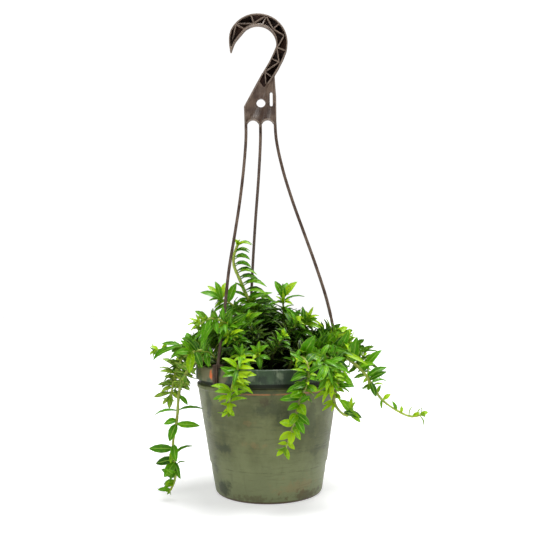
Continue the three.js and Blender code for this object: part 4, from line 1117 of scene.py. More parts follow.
# %% Stems in front
STEMS = [
    {
        "name": "left_trailing", "young": 0.05, "worn": 0.47, "tuft": 0.55, "thick": 1.15, "bark": 0.5,
        "route": [
            [-52, -14], [-70, -22, 152], [-84, -26, 150], [-91, -28, 141], [-98, -29, 128],
            [-101, -30, 110], [-102, -30, 95], [-104, -31, 78], [-107, -32, 62], [-106, -32, 46],
            [-104, -33, 27], [-108, -33, 13], [-112, -33, 7],
        ],
        "singles": [
            [0.36, -98, -36, 123, 9, 60], [0.48, -90, -33, 104, 6, 40], [0.56, -73, -30, 100, 5, 28],
            [0.56, -129, -30, 94, 5, 28], [0.63, -77, -33, 81, 8, 80], [0.63, -110, -40, 65, 10, 60],
            [0.76, -134, -34, 56, 10, 80], [0.8, -86, -32, 60, 6, 20], [0.82, -126, -36, 40, 10, 60],
            [0.85, -94, -33, 42, 4, 0], [0.83, -99, -39, 24, 7, 70], [0.91, -119, -37, 34, 9, 60],
            [0.93, -117, -36, 17, 6, 60], [0.98, -124, -35, 11, 5, 70], [0.74, -102, -44, 44, 9, 70],
            [0.87, -109, -43, 24, 7, 70],
        ],
        "extras": [
            [0.61, -116, -38, 84, 7.5, 60], [0.63, -110, -40, 65, 6, 70, 0.1],
            [0.77, -108, -44, 43, 7, 75, 0.1], [0.83, -115, -44, 27, 11, 75, 0.1],
            [0.9, -112, -46, 35, 8, 75, 0.15], [0.85, -98, -40, 24, 4.5, 70, 0.05],
            [0.94, -116, -40, 15, 6.5, 70, 0.1],
        ],
    },
    {
        "name": "left_tuft", "young": 0.25, "worn": 1, "fill": 0.9,
        "route": [
            [-50, 8], [-72, 8, 158], [-86, 9, 160], [-98, 9, 155], [-106, 8, 144], [-111, 6, 130],
            [-113, 4, 115], [-115, 3, 106],
        ],
        "singles": [
            [0.77, -129, 9, 144, 4, 30], [0.78, -127, 3, 139, 6, 40], [0.72, -124, 6, 154, 7, 40],
            [0.72, -99, 5, 141, 7, 50], [0.88, -130, 5, 123, 6, 50], [0.9, -125, -1, 115, 6, 50],
            [0.95, -135, 4, 108, 6, 60], [0.95, -116, 1, 94, 7, 70], [0.86, -101, 1, 117, 6, 60],
            [0.82, -121, 0, 133, 6, 50], [0.94, -105, 0, 106, 5, 60], [0.81, -99, 3, 131, 6, 50],
            [0.98, -125, 4, 99, 5, 60],
        ],
    },
    {
        "name": "left_shoulder", "fill": 0.7, "dense": 1.3,
        "route": [
            [-40, 22], [-60, 23, 162], [-94, 30, 168], [-113, 32, 165], [-128, 34, 162], [-138, 35, 160],
        ],
        "singles": [
            [0.85, -140, 27, 151, 9, 40], [0.9, -128, 34, 167, 7, 50], [0.81, -114, 38, 172, 4, 50],
            [0.76, -105, 23, 150, 8, 50], [0.97, -143, 35, 166, 5, 50], [0.99, -145, 35, 155, 4, 50],
            [0.66, -99, 35, 182, 9, 50], [0.66, -110, 20, 148, 9, 50], [0.55, -78, 14, 150, 9, 50],
            [0.55, -80, 38, 182, 9, 20], [0.72, -96, 46, 160, 8, 10],
        ],
        "extras": [
            [0.72, -140, 26, 152, 6, 60], [0.66, -118, 20, 151, 6.5, 60], [0.75, -130, 34, 169, 6.5, 50],
            [0.86, -133, 28, 154, 5, 60, 0.1], [0.6, -105, 30, 176, 7, 60],
            [0.55, -100, 12, 159, 7, 60, -0.1],
        ],
    },
    {
        "name": "left_bright", "young": 0.05, "slim": 0.95, "bark": 1.4, "pairs": 7, "size": 25,
        "route": [[-36, -24], [-39, -46, 183], [-50, -61, 199], [-62, -63, 201], [-75, -62, 194]],
        "extras": [
            [0.82, -58, -62, 203, 5, 60], [0.76, -48, -64, 214, 5.5, 60],
            [0.86, -65, -68, 188, 6, 60, 0.1], [0.7, -34, -68, 183, 6, 60], [0.68, -22, -62, 207, 6, 60],
            [0.62, -24, -64, 196, 6, 60], [0.72, -38, -64, 212, 6, 60, 0.05],
            [0.97, -87, -64, 195, 3.5, 40, 0.5], [0.97, -85, -62, 202, 3.5, 50, 0.5],
            [0.98, -77, -62, 206, 3.5, 60, 0.6], [0.95, -66, -66, 205, 3.5, 50, 0.4],
            [0.96, -83, -66, 189, 4, 50, 0.4], [0.9, -71, -74, 172, 6, 60], [0.84, -53, -74, 185, 6, 50],
            [0.62, -39, -66, 209, 5, 60, 0.1], [0.7, -51, -64, 209, 5, 60, 0.1],
            [0.55, -22, -62, 207, 5.5, 60], [0.5, -13, -60, 202, 5, 60, 0.05],
            [0.66, -33, -72, 193, 5, 60, 0.15], [0.58, -24, -72, 186, 5, 55, 0.1],
            [0.72, -44, -76, 186, 5, 60, 0.1], [0.6, -26, -72, 181, 4.5, 50],
            [0.82, -72, -74, 172, 7, 60, 0.05], [0.78, -82, -66, 177, 5, 50],
            [0.9, -70, -66, 166, 8, 60, -0.15], [0.68, -52, -74, 177, 5, 60],
            [0.8, -60, -58, 199, 6, 55, 0.05], [0.86, -65, -58, 187, 6, 55], [0.74, -55, -58, 190, 6, 55],
            [0.7, -50, -54, 199, 6, 55, 0.05], [0.93, -70, -60, 202, 4.5, 55, 0.3],
        ],
    },
    {
        "name": "upper_left", "fill": 0.85, "dense": 1.8,
        "route": [[-22, -4], [-20, -4, 185], [-32, -4, 207], [-46, -5, 219], [-54, -6, 222]],
        "singles": [
            [0.99, -77, -8, 232, 9, 50], [0.99, -60, -8, 243, 8, 60], [0.92, -36, -7, 241, 10, 60],
            [0.97, -67, -12, 222, 6, 30], [0.95, -61, -13, 213, 6, 30], [0.99, -48, 4, 243, 9, 60],
            [1, -70, 0, 239, 7, 50], [0.86, -56, -2, 206, 8, 30], [0.78, -12, -12, 218, 8, 50],
            [0.72, -46, 6, 196, 9, 20], [0.66, -2, 2, 202, 8, 30],
        ],
        "extras": [
            [0.9, -63, -14, 207, 6, 50], [0.86, -58, -18, 199, 6, 50], [0.8, -47, -16, 202, 6, 50],
            [0.75, -41, -16, 195, 6, 50],
        ],
    },
    {
        "name": "comb", "young": 0.12, "thick": 1.5, "bark": 0.1, "comb": True, "pairs": 13, "size": 36,
        "from": 0.42, "fill": 0.6, "dense": 2.0,
        "route": [
            [-6, 6], [-6, 6, 185], [-17, 4, 211], [-25, 3, 228], [-31, 2, 243], [-38, 1, 260],
            [-39, 0, 268], [-37, 0, 278], [-33, 0, 288],
        ],
        "extras": [
            [0.6, -42, -6, 233, 5, 50, 0.35], [0.64, -36, -8, 242, 4, 50, 0.45],
            [0.56, -35, -8, 220, 5, 50, 0.2], [0.58, 6, -6, 230, 6, 20], [0.55, 11, -8, 220, 6, 20, -0.2],
            [0.51, 9, -6, 211, 6, 20, -0.3], [0.47, 7, -6, 202, 6, 20, -0.4],
        ],
    },
    {
        "name": "star", "fill": 0.86, "dense": 1.8,
        "route": [[14, 8], [18, 8, 185], [20, 6, 206], [19, 5, 218], [19, 5, 225]],
        "singles": [
            [0.99, 10, 3, 243, 9, 60], [0.99, 35, 3, 243, 9, 60], [0.97, 25, 16, 242, 9, 60],
            [0.97, 19, -8, 238, 8, 60], [0.94, 45, 7, 226, 6, 20], [0.88, 31, -9, 191, 10, 50],
            [0.85, 2, 0, 206, 6, 30], [0.92, 0, 9, 216, 5, 20], [0.93, 9, -5, 217, 5, 40],
            [0.93, 30, -5, 216, 5, 40], [0.78, 40, 14, 200, 9, 20], [0.72, -4, 20, 194, 9, 0],
            [0.64, 36, -2, 176, 9, 40],
        ],
        "extras": [
            [0.9, 12, -6, 225, 4, 50, 0.7], [0.9, 25, -8, 222, 4, 50, 0.7],
            [0.93, 19, -8, 231, 4, 70, 0.7], [0.87, 37, -18, 184, 9, 70, 0.25],
            [0.84, 45, -16, 190, 8, 70, 0.2], [0.8, 6, -12, 195, 7, 60],
        ],
    },
    {
        "name": "bud", "young": 0.15, "pairs": 8, "size": 25, "dense": 1.5,
        "route": [[24, -4], [33, -12, 176], [43, -16, 191], [48, -18, 200]],
        "extras": [
            [0.97, 64, -26, 191, 4, 40, 0.4], [0.98, 59, -24, 203, 4, 50, 0.5],
            [0.97, 40, -24, 211, 4, 50, 0.4], [0.99, 53, -22, 212, 4, 60, 0.5],
            [0.94, 34, -28, 202, 4.5, 50, 0.3], [0.82, 31, -34, 172, 6, 70, 0.3],
            [0.85, 23, -30, 212, 8, 60, 0.05], [0.88, 41, -26, 212, 7, 60, 0.05],
            [0.9, 61, -28, 189, 7, 60, 0.05], [0.92, 58, -22, 199, 5, 60, 0.1],
            [0.8, 51, -32, 180, 7, 60], [0.75, 21, -30, 183, 7, 60], [0.72, 16, -26, 195, 6, 60],
        ],
    },
    {
        "name": "right_high", "young": 0.32, "pairs": 7, "size": 31, "dense": 0.7, "fill_size": 1.3,
        "route": [[34, 8], [56, 2, 165], [71, -4, 174], [84, -9, 177], [95, -12, 172]],
        "extras": [
            [0.66, 75, -14, 188, 8, 65, 0.1], [0.74, 85, -16, 185, 8, 65, 0.05],
            [0.55, 64, -12, 186, 7, 60, 0.1], [0.9, 98, -16, 181, 7, 60, 0.1], [0.5, 63, -18, 191, 9, 65],
            [0.6, 72, -18, 189, 9, 65], [0.45, 54, -20, 185, 8, 65], [0.72, 85, -20, 184, 9, 65, 0.05],
        ],
    },
    {
        "name": "right_trailing", "young": 0.1, "tuft": 0.7, "thick": 1.05, "bark": 0.5,
        "route": [
            [46, -26], [58, -32, 158], [72, -38, 163], [84, -42, 158], [97, -44, 148], [108, -44, 137],
            [116, -44, 124], [126, -44, 109], [142, -44, 97], [158, -44, 90], [171, -44, 92],
        ],
        "singles": [
            [0.46, 98, -52, 178, 11, 60], [0.54, 123, -54, 165, 10, 45], [0.51, 115, -60, 151, 8, 50],
            [0.58, 132, -44, 146, 8, 50], [0.6, 130, -54, 141, 7, 60], [0.62, 133, -38, 130, 5, 30],
            [0.64, 126, -52, 128, 4, 30], [0.61, 119, -50, 113, 7, 60], [0.69, 125, -44, 125, 4, 40],
            [0.74, 136, -44, 115, 5, 60], [0.73, 125, -46, 99, 3, 0], [0.84, 138, -44, 107, 4, 60],
            [0.87, 147, -46, 102, 4, 60], [0.92, 159, -44, 101, 3, 0], [0.97, 168, -44, 99, 3, 0],
            [0.98, 173, -44, 80, 3, 0], [0.99, 177, -44, 95, 5, 60], [0.94, 167, -49, 95, 4, 60],
            [0.4, 74, -52, 148, 9, 50], [0.4, 84, -26, 172, 9, 20],
        ],
        "extras": [
            [0.36, 90, -50, 185, 10, 65, -0.05], [0.33, 84, -48, 180, 8, 65, -0.05],
            [0.42, 93, -52, 172, 8, 65], [0.4, 81, -52, 149, 7, 60], [0.3, 91, -66, 163, 7, 60, 0.15],
            [0.36, 106, -70, 153, 6, 60, 0.2],
        ],
    },
    {
        "name": "right_cluster", "young": 0.18, "pairs": 9, "size": 21, "from": 0.36, "fill": 0.95,
        "dense": 3.4, "fill_size": 0.85,
        "route": [[40, -40], [55, -60, 157], [63, -72, 152], [67, -80, 138], [66, -83, 125]],
        "singles": [[0.78, 93, -76, 128, 9, 50], [0.7, 88, -80, 143, 8, 40]],
        "extras": [
            [0.5, 39, -68, 156, 4.5, 50, 0.1], [0.64, 53, -82, 150, 4, 50, 0.05],
            [0.72, 57, -92, 137, 6, 60, 0.1], [0.97, 65, -92, 120, 4.5, 70, 0.8],
            [0.99, 48, -90, 118, 5, 55, 0.2], [0.95, 56, -92, 114, 4.5, 60],
            [0.9, 52, -92, 126, 5.5, 60, 0.1], [0.82, 52, -92, 136, 5.5, 60, 0.1],
            [0.68, 74, -84, 145, 5, 50, 0.05], [0.5, 47, -84, 144, 5, 55, 0.1],
            [0.55, 56, -86, 146, 5, 55, 0.1], [0.6, 69, -84, 145, 5, 55, 0.1],
            [0.65, 77, -82, 144, 5, 55, 0.1], [0.7, 50, -92, 137, 5, 55, -0.1],
            [0.72, 58, -94, 139, 5, 60, -0.1], [0.75, 72, -88, 136, 5, 60, -0.05],
            [0.78, 81, -84, 131, 5, 60, 0.1], [0.82, 52, -94, 128, 5, 60], [0.84, 60, -96, 127, 5.5, 65],
            [0.88, 73, -90, 125, 5, 60, 0.1], [0.9, 66, -94, 118, 5, 65, 0.3],
            [0.5, 84, -70, 150, 5, 50, 0.05], [0.6, 87, -76, 141, 5, 50, 0.1],
            [0.62, 74, -84, 150, 5.5, 55, 0.05], [0.72, 67, -94, 133, 5, 60],
        ],
    },
    {
        "name": "right_bare", "young": -0.12, "thick": 1.3, "bark": 2.0, "fill": 0.6, "dense": 2.2,
        "fill_size": 0.9,
        "route": [
            [52, -38], [66, -52, 156], [74, -62, 152], [76, -70, 138], [72, -73, 122], [70, -73, 113],
            [74, -71, 104], [80, -70, 98], [86, -69, 96], [88, -69, 102],
        ],
        "singles": [
            [0.92, 100, -73, 95, 8, 60], [0.99, 76, -75, 114, 9, 60], [0.97, 98, -75, 90, 7, 60],
            [1, 90, -69, 116, 4, 50], [1, 94, -67, 111, 3, 40], [0.42, 86, -72, 146, 7, 50],
            [0.36, 58, -74, 158, 8, 50],
        ],
        "extras": [
            [0.6, 83, -80, 134, 5.5, 60, 0.1], [0.65, 91, -80, 129, 6, 60, 0.1],
            [0.68, 80, -82, 124, 5, 60, 0.25], [0.72, 76, -84, 115, 5, 60, 0.5],
            [0.78, 57, -78, 103, 4, 60, 1], [0.79, 67, -80, 103, 3.5, 60, 1],
            [0.77, 58, -80, 110, 3.5, 60, 0.9], [0.52, 82, -76, 145, 5, 50, 0.1],
            [0.62, 62, -84, 131, 5, 60, 0.2],
        ],
    },
    {
        "name": "right_low", "young": 0.32, "pairs": 6, "size": 30, "dense": 0.8, "fill_size": 1.3,
        "route": [[36, -18], [57, -30, 164], [75, -37, 172], [90, -42, 171]],
        "extras": [
            [0.7, 80, -44, 185, 10.5, 65], [0.62, 68, -40, 182, 8, 60], [0.86, 71, -54, 158, 9, 60, -0.1],
            [0.92, 91, -54, 164, 8.5, 60, 0.05], [0.8, 85, -46, 182, 9, 60, 0.1],
            [0.55, 61, -38, 179, 7, 60], [0.5, 64, -52, 152, 9, 65, -0.15],
        ],
    },
    {
        "name": "front_right", "young": 0.12, "slim": 1.05, "bark": 1.3, "fill": 0.66, "dense": 1.6,
        "fill_size": 0.85,
        "route": [
            [22, -50], [30, -62, 157], [39, -78, 157], [43, -88, 147], [41, -92, 134], [34, -92, 119],
            [30, -91, 106], [26, -90, 90], [21, -88, 74], [17, -87, 65],
        ],
        "singles": [
            [0.5, 24, -97, 139, 9, 50], [0.5, 56, -95, 152, 7, 50], [0.58, 19, -96, 126, 8, 50],
            [0.58, 52, -96, 126, 7, 50], [0.66, 12, -96, 118, 8, 60], [0.69, 43, -97, 121, 6, 60],
            [0.7, 38, -101, 103, 9, 70], [0.7, 20, -101, 108, 7, 70, 0.1],
            [0.76, 43, -93, 91, 8, 70, 0.1], [0.76, 22, -101, 93, 9, 80, 0.1],
            [0.79, 37, -97, 83, 8, 70, 0.1], [0.83, 12, -92, 94, 8, 70, 0.1],
            [0.84, 33, -94, 76, 6, 70, 0.1], [0.88, 11, -92, 76, 7, 75, 0.35],
            [0.88, 23, -96, 72, 8, 80, 0.35], [0.95, 27, -92, 66, 5, 70, 0.5],
            [0.96, 10, -92, 72, 4, 60, 0.5], [0.99, 8, -90, 59, 5, 70, 0.5],
            [0.99, 21, -91, 55, 5, 70, 0.5], [0.42, 24, -82, 165, 4.5, 50, 0.2],
            [0.42, 52, -72, 164, 8, 40],
        ],
        "extras": [
            [0.5, 25, -98, 150, 3, 50, 0.3], [0.5, 24, -100, 138, 6, 60, 0.1],
            [0.56, 26, -102, 130, 7, 65], [0.62, 23, -102, 122, 9, 70, -0.05],
            [0.72, 36, -98, 104, 7.5, 75, 0.1], [0.8, 23, -98, 100, 7, 75, 0.15],
        ],
    },
    {
        "name": "front_left", "young": 0.2, "slim": 0.95, "thick": 0.75, "bark": 1.6, "fill": 0.5,
        "route": [
            [-32, -46], [-27, -62, 160], [-28, -78, 160], [-31, -88, 150], [-35, -91, 139],
            [-38, -92, 128], [-40, -91, 116], [-41, -90, 105],
        ],
        "singles": [
            [0.63, -46, -94, 162, 8, 40], [0.7, -48, -99, 152, 9, 60], [0.59, -12, -92, 158, 6, 30, 0.9],
            [0.64, -15, -98, 151, 6, 50, 0.9], [0.69, -12, -99, 144, 8, 60, 0.9],
            [0.73, -20, -102, 135, 7, 70, 0.6], [0.77, -15, -96, 125, 7, 50],
            [0.83, -58, -97, 134, 8, 50], [0.84, -54, -103, 128, 6, 60], [0.88, -57, -94, 119, 6, 50],
            [0.88, -51, -102, 120, 5, 60, 0.6], [0.89, -21, -99, 128, 6, 50],
            [0.92, -22, -93, 120, 5, 40], [0.95, -49, -94, 114, 4, 50], [0.97, -48, -93, 100, 5, 70, 0.7],
            [0.98, -35, -93, 101, 5, 70, 0.7], [0.95, -33, -95, 112, 4, 60],
        ],
        "extras": [
            [0.64, -43, -98, 149, 5, 60, -0.05], [0.68, -46, -101, 143, 6.5, 65],
            [0.66, -25, -103, 135, 6, 70, 0.5], [0.6, -21, -98, 157, 4.5, 50, 0.8],
            [0.64, -35, -104, 135, 5.5, 80, -0.05], [0.74, -31, -104, 124, 5.5, 75],
            [0.82, -43, -103, 116, 4.5, 75, 0.15], [0.86, -51, -97, 117, 3.5, 55, 0.2],
            [0.84, -28, -99, 133, 4.5, 60, 0.1], [0.92, -39, -98, 104, 7, 75, 0.7],
            [0.5, -29, -98, 153, 6, 70, 0.1], [0.42, -24, -88, 161, 6, 70, 0.1],
            [0.72, -18, -100, 147, 6, 75, 0.8], [0.7, -21, -103, 142, 4.5, 70, 0.9],
            [0.74, -18, -102, 137, 4, 60, 0.9], [0.72, -26, -104, 136, 4.5, 70, 0.8],
        ],
    },
    {
        "name": "centre_small", "young": 0.2,
        "route": [[-8, -42], [-9, -54, 155], [-10, -64, 164]],
        "singles": [
            [0.87, -31, -65, 164, 6, 50], [0.87, 3, -65, 157, 6, 50], [0.87, -8, -69, 147, 7, 60],
            [0.98, 1, -66, 172, 6, 50], [0.94, -18, -66, 172, 6, 50], [0.99, -9, -69, 176, 5, 60],
            [0.7, 8, -58, 164, 6, 40], [0.66, -24, -58, 152, 7, 40],
        ],
    },
    {
        "name": "front_large_leaf", "fill": 0.5, "dense": 1.6,
        "route": [[26, -34], [36, -50, 154], [41, -60, 162]],
        "singles": [
            [0.92, 50, -74, 181, 14, 70], [0.82, 24, -60, 166, 8, 50], [0.94, 56, -62, 156, 8, 50],
            [0.76, 20, -56, 152, 6, 50], [0.9, 36, -48, 178, 8, 60], [0.7, 52, -46, 164, 8, 40],
            [0.97, 38, -74, 166, 7, 50],
        ],
        "extras": [
            [0.62, 49, -68, 176, 13, 70, -0.2], [0.97, 66, -66, 154, 9, 60, -0.1],
            [0.6, 17, -60, 159, 5, 40, 0.3], [0.55, 18, -62, 151, 5, 40, 0.2],
        ],
    },
    {
        "name": "left_low", "fill": 0.8,
        "route": [[-50, -32], [-61, -46, 160], [-73, -52, 166], [-84, -56, 164]],
        "singles": [
            [1, -84, -66, 142, 10, 60], [0.93, -71, -66, 149, 9, 60], [1, -100, -60, 165, 9, 60],
            [0.86, -86, -48, 177, 9, 60], [0.76, -64, -62, 149, 8, 60], [0.8, -62, -55, 180, 8, 60],
            [0.99, -92, -66, 178, 7, 50], [0.72, -78, -38, 160, 8, 20],
        ],
        "extras": [[0.9, -89, -60, 180, 7, 60]],
    },
    {
        "name": "mid_left", "young": 0.12, "pairs": 7, "size": 24, "dense": 1.5,
        "route": [[-24, -30], [-26, -44, 165], [-34, -54, 176], [-42, -63, 183]],
        "extras": [
            [0.97, -26, -70, 189, 5.5, 50], [0.9, -49, -70, 173, 6, 50], [0.86, -17, -68, 175, 5.5, 40],
        ],
    },
    {
        "name": "mid", "pairs": 7, "size": 26, "dense": 1.5,
        "route": [[-4, -20], [-13, -28, 170], [-17, -36, 187], [-22, -42, 201]],
        "extras": [[0.97, -6, -46, 207, 6, 60], [0.9, -34, -48, 208, 6.5, 60]],
    },
    {
        "name": "mid_right", "pairs": 7, "size": 27, "dense": 1.5,
        "route": [[12, -12], [19, -22, 169], [26, -30, 184], [34, -36, 195]],
    },
    {
        "name": "inner", "pairs": 7, "size": 26, "dense": 1.5,
        "route": [[4, 22], [2, 21, 184], [0, 24, 206], [-4, 26, 220]],
    },
    {
        "name": "front_mid", "pairs": 6, "size": 22,
        "route": [[2, -34], [6, -44, 158], [12, -52, 172], [18, -60, 181]],
    },
]

# %% [markdown]
# The stems at the back are plain arches. Each has its name, its direction about the pot in degrees, the
# distance of its hole from the middle, the height of its crest, and how far out and how high its tip is.
# %% Stems at the back
BACK_STEMS = [
    ["back_a", 8, 52, 168, 122, 116],
    ["back_b", 27, 40, 174, 102, 152],
    ["back_c", 42, 56, 170, 116, 98],
    ["back_d", 60, 34, 186, 82, 178],
    ["back_e", 72, 54, 176, 118, 140],
    ["back_f", 90, 42, 196, 98, 178],
    ["back_g", 104, 58, 168, 114, 84],
    ["back_h", 120, 40, 200, 90, 204],
    ["back_i", 136, 54, 178, 122, 134],
    ["back_j", 150, 38, 182, 96, 166],
    ["back_k", 171, 56, 163, 112, 112],
]
BACK_STEM = {"pairs": 7, "size": 28, "dense": 1.3, "fill_size": 1.25, "young": 0.12}

for name, degrees, hole, crest, reach, tip in BACK_STEMS:
    angle = math.radians(degrees)
    steps = [(hole + 10, crest - 14), ((hole + reach) / 2 + 4, crest)]
    steps += [(reach - 4, (crest + tip) / 2 + 6), (reach, tip)]
    route = [[round(hole * math.cos(angle)), round(hole * math.sin(angle))]]
    for radius, z in steps:
        route.append([round(radius * math.cos(angle)), round(radius * math.sin(angle)), z])
    STEMS.append({"name": name, "route": route, **BACK_STEM})
print(len(STEMS), "stems")

# %% [markdown]
# ## Where the leaves grow
#
# A leaf is planned before it is made: its root on the stem, the direction of its tip, its length and
# width, and the way its face looks. Leaves could be scattered by Geometry Nodes, but a plan can also be
# tested and changed before there is a mesh. Pairs follow the rule of this plant: each pair stands across
# the one below it, and leaves shrink towards the tip of the stem. The chance numbers are seeded, so that
# the plant grows in the same way each time.
# %% Plan of a leaf
END_MARGIN = 1.3
UP = Vector((0, 0, 1))


def clamped(value):
    """The value, kept between 0 and 1."""
    return min(1.0, max(0.0, value))


def leaf_between(base, tip, width, hint, arch, place, lime=0.0):
    """A leaf from its root to its tip, with its face turned as near to the hint as it goes."""
    along = tip - base
    length = along.length
    along.normalize()
    face = hint - along * hint.dot(along)
    if face.length < 0.1:
        face = Vector((1, 0, 0)) - along * along.x
    face.normalize()
    return {"base": base, "along": along, "face": face, "side": face.cross(along), "length": length,
            "width": width, "arch": arch, "place": place, "lime": lime}


def on_line(points, length, place):
    """A point and a direction at a place from 0 to 1 along a stem's straight stretches."""
    steps = len(points) - 1
    at = min(place, 1 - END_MARGIN / length) * steps
    whole = int(at)
    a, b = points[whole], points[whole + 1]
    return a.lerp(b, at - whole), (b - a).normalized()


def ways_out(tangent):
    """Two directions at right angles to a stem: a level one, and one over it."""
    across = UP.cross(tangent)
    across = across.normalized() if across.length > 0.2 else Vector((1, 0, 0))
    return across, tangent.cross(across).normalized()


# %% [markdown]
# A single leaf is planned from its row. A leaf of a pair is only drafted at first: its direction and size
# are known, and its final place is found by trying. The comb's leaves are long and narrow, all swept to
# the right, and droop at their tips.
# %% Single leaves and pairs
LAST_PAIR = 0.985
PAIR_WIDTH = 0.32
USUAL_ARCH = 0.1
COMB_ARCH = 0.2


def single_leaf(line, single):
    place, x, y, z, width, lean, *lime = single
    angle = math.radians(lean)
    hint = Vector((0, -math.sin(angle), math.cos(angle)))
    base = on_line(*line, place)[0]
    return leaf_between(base, Vector((x, y, z)), width, hint, USUAL_ARCH, place, sum(lime))


def draft_of(base, tangent, reach, length, width, place, arch=USUAL_ARCH):
    return {"base": base, "tangent": tangent, "reach": reach, "length": length,
            "width": width, "place": place, "arch": arch}


def rule_pairs(stem, line, draw):
    """Each pair crosses the one before it, and the leaves shrink to the tip."""
    drafts = []
    for i in range(stem["pairs"]):
        t = i / (stem["pairs"] - 1)
        place = stem["from"] + (LAST_PAIR - stem["from"]) * t ** 0.85
        base, tangent = on_line(*line, place)
        across, over = ways_out(tangent)
        grow = 0.86 + 0.3 * t - 0.75 * t ** 3
        turn = (i % 2) * math.pi / 2 + 0.5 + (draw() - 0.5) * 0.7
        for half in (0, math.pi):
            spread = (1.25 - 0.45 * t) * (0.85 + 0.3 * draw())
            length = stem["size"] * grow * (0.85 + 0.3 * draw())
            outward = across * math.cos(turn + half) + over * math.sin(turn + half)
            reach = tangent * math.cos(spread) + outward * math.sin(spread)
            reach.z += 0.12
            drafts.append(draft_of(base, tangent, reach, length, length * PAIR_WIDTH, place))
    return drafts


def comb_pairs(stem, line, draw):
    """One leaf of a pair stands before the stem and one behind it, and both point to the right."""
    drafts = []
    for i in range(stem["pairs"]):
        t = i / (stem["pairs"] - 1)
        place = stem["from"] + (LAST_PAIR - stem["from"]) * t
        length = stem["size"] * (1.1 - 0.62 * t) * (0.92 + 0.16 * draw())
        for depth in (-1, 1):
            reach = Vector((1, 0.34 * depth, -0.16 + 0.22 * t + 0.08 * draw()))
            base = on_line(*line, min(0.995, place + 0.008 * depth))[0]
            drafts.append(draft_of(base, UP, reach, length, 4.6 - 0.6 * t, place, COMB_ARCH))
    return drafts


# %% [markdown]
# A leaf may not run through the pot, the hanger, a stem or another leaf. So each leaf of a pair has a few
# tries, in which it is turned, raised and shortened a little, and the first try that is clear is kept. The
# test uses a plain spindle in the leaf's place, and a BVH tree, which finds crossing faces quickly. Two
# boxes that lie apart save even that.
# %% Tries
TRIES = [
    (0, 0, 1), (0.35, 0.12, 0.95), (-0.35, 0.12, 0.95), (0.6, 0.25, 0.88), (-0.6, 0.25, 0.88),
    (0, 0.45, 0.8), (0, -0.3, 0.75),
]
KEEL = 1.3


def try_leaf(draft, turn, rise, shrink):
    """A leaf from its draft, turned about the stem, raised and shortened."""
    base, tangent = draft["base"], draft["tangent"]
    reach = Matrix.Rotation(turn, 3, tangent) @ draft["reach"]
    reach.z += rise
    tip = base + reach.normalized() * draft["length"] * shrink
    away = Vector((base.x, base.y, 0)).normalized()
    hint = tangent * 0.5 + UP * 0.8 + away * 0.3
    return leaf_between(base, tip, draft["width"] * shrink, hint, draft["arch"], draft["place"])


def boxed(corners, faces):
    low = [min(c[axis] for c in corners) for axis in range(3)]
    high = [max(c[axis] for c in corners) for axis in range(3)]
    return BVHTree.FromPolygons(corners, faces), low, high


def meets(one, other):
    if any(one[1][axis] > other[2][axis] or other[1][axis] > one[2][axis] for axis in range(3)):
        return False
    return bool(one[0].overlap(other[0]))


# %% [markdown]
# The spindle has five rings of three corners: a keel below the leaf and its two edges. It begins a little
# way out from the leaf's root, because all the leaves of a stem meet there.
# %% Test bodies
SPINDLE_FACES = [(3 * ring + a, 3 * ring + (a + 1) % 3, 3 * ring + 3 + (a + 1) % 3, 3 * ring + 3 + a)
                 for ring in range(4) for a in range(3)]
TEST_STEM_R = 1.3


def spindle(leaf, start, extra=GAP):
    """A plain body round the outer part of a leaf, with its box, to test what it meets."""
    corners = []
    for w, t in ((0, start), (0.9, max(0.3, start + 0.1)), (1, 0.5), (0.7, 0.8), (0, 1.01)):
        middle = leaf["base"] + leaf["along"] * leaf["length"] * t
        arch = leaf["length"] * leaf["arch"] * 4 * t * (1 - t)
        reach = (w * leaf["width"] / 2 + extra) if w else 0
        corners.append(middle + leaf["face"] * (arch + extra - (KEEL * math.sqrt(w) + 2 * extra if w else 0)))
        corners.append(middle + leaf["face"] * (arch + extra) + leaf["side"] * reach)
        corners.append(middle + leaf["face"] * (arch + extra) - leaf["side"] * reach)
    return boxed(corners, SPINDLE_FACES)


def boxed_mesh(mesh):
    """A mesh in metres as a test body in millimetres."""
    return boxed([v.co * (1 / MM) for v in mesh.vertices], [tuple(p.vertices) for p in mesh.polygons])


def test_tube(points):
    """A plain three-sided tube round a stem, to test what it meets."""
    bm = bmesh.new()
    tube(bm, points, [TEST_STEM_R + GAP + 0.2] * len(points), 3)
    mesh = bpy.data.meshes.new("test")
    bm.to_mesh(mesh)
    bm.free()
    made = boxed_mesh(mesh)
    bpy.data.meshes.remove(mesh)
    return made


# %% [markdown]
# A shoot is a stem with all that grows on it. It starts below the soil's top, in its hole, and comes out of
# the soil upright. Each shoot has its own source of chance numbers, so a new row in one stem's list doesn't
# move the random leaves of the others. A leaf is tested against other shoots from near its root on, and
# against its own shoot's leaves from further out.
# %% Shoots
ROOT_Z = 118
ROUGH_STEP = 15
FIRST_SEED = 1000
SEED_STEP = 77
FAR_FROM = 0.12
NEAR_FROM = 0.3

fixed = [boxed_mesh(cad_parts[name].data) for name in ("pot", "soil", "hanger")]
shoots = []
for index, given in enumerate(STEMS):
    stem = {**USUAL, **given}
    x, y = stem["route"][0]
    points = [(x, y, ROOT_Z), (x, y, SOIL_TOP - 2), (x, y, SOIL_TOP + 8), *stem["route"][1:]]
    line = spaced_route(points, step_length=ROUGH_STEP)
    draw = chance_from(FIRST_SEED + SEED_STEP * index)
    shoots.append({"stem": stem, "points": points, "line": line, "draw": draw,
                   "tube": test_tube(line[0]), "leaves": [], "far": [], "near": []})


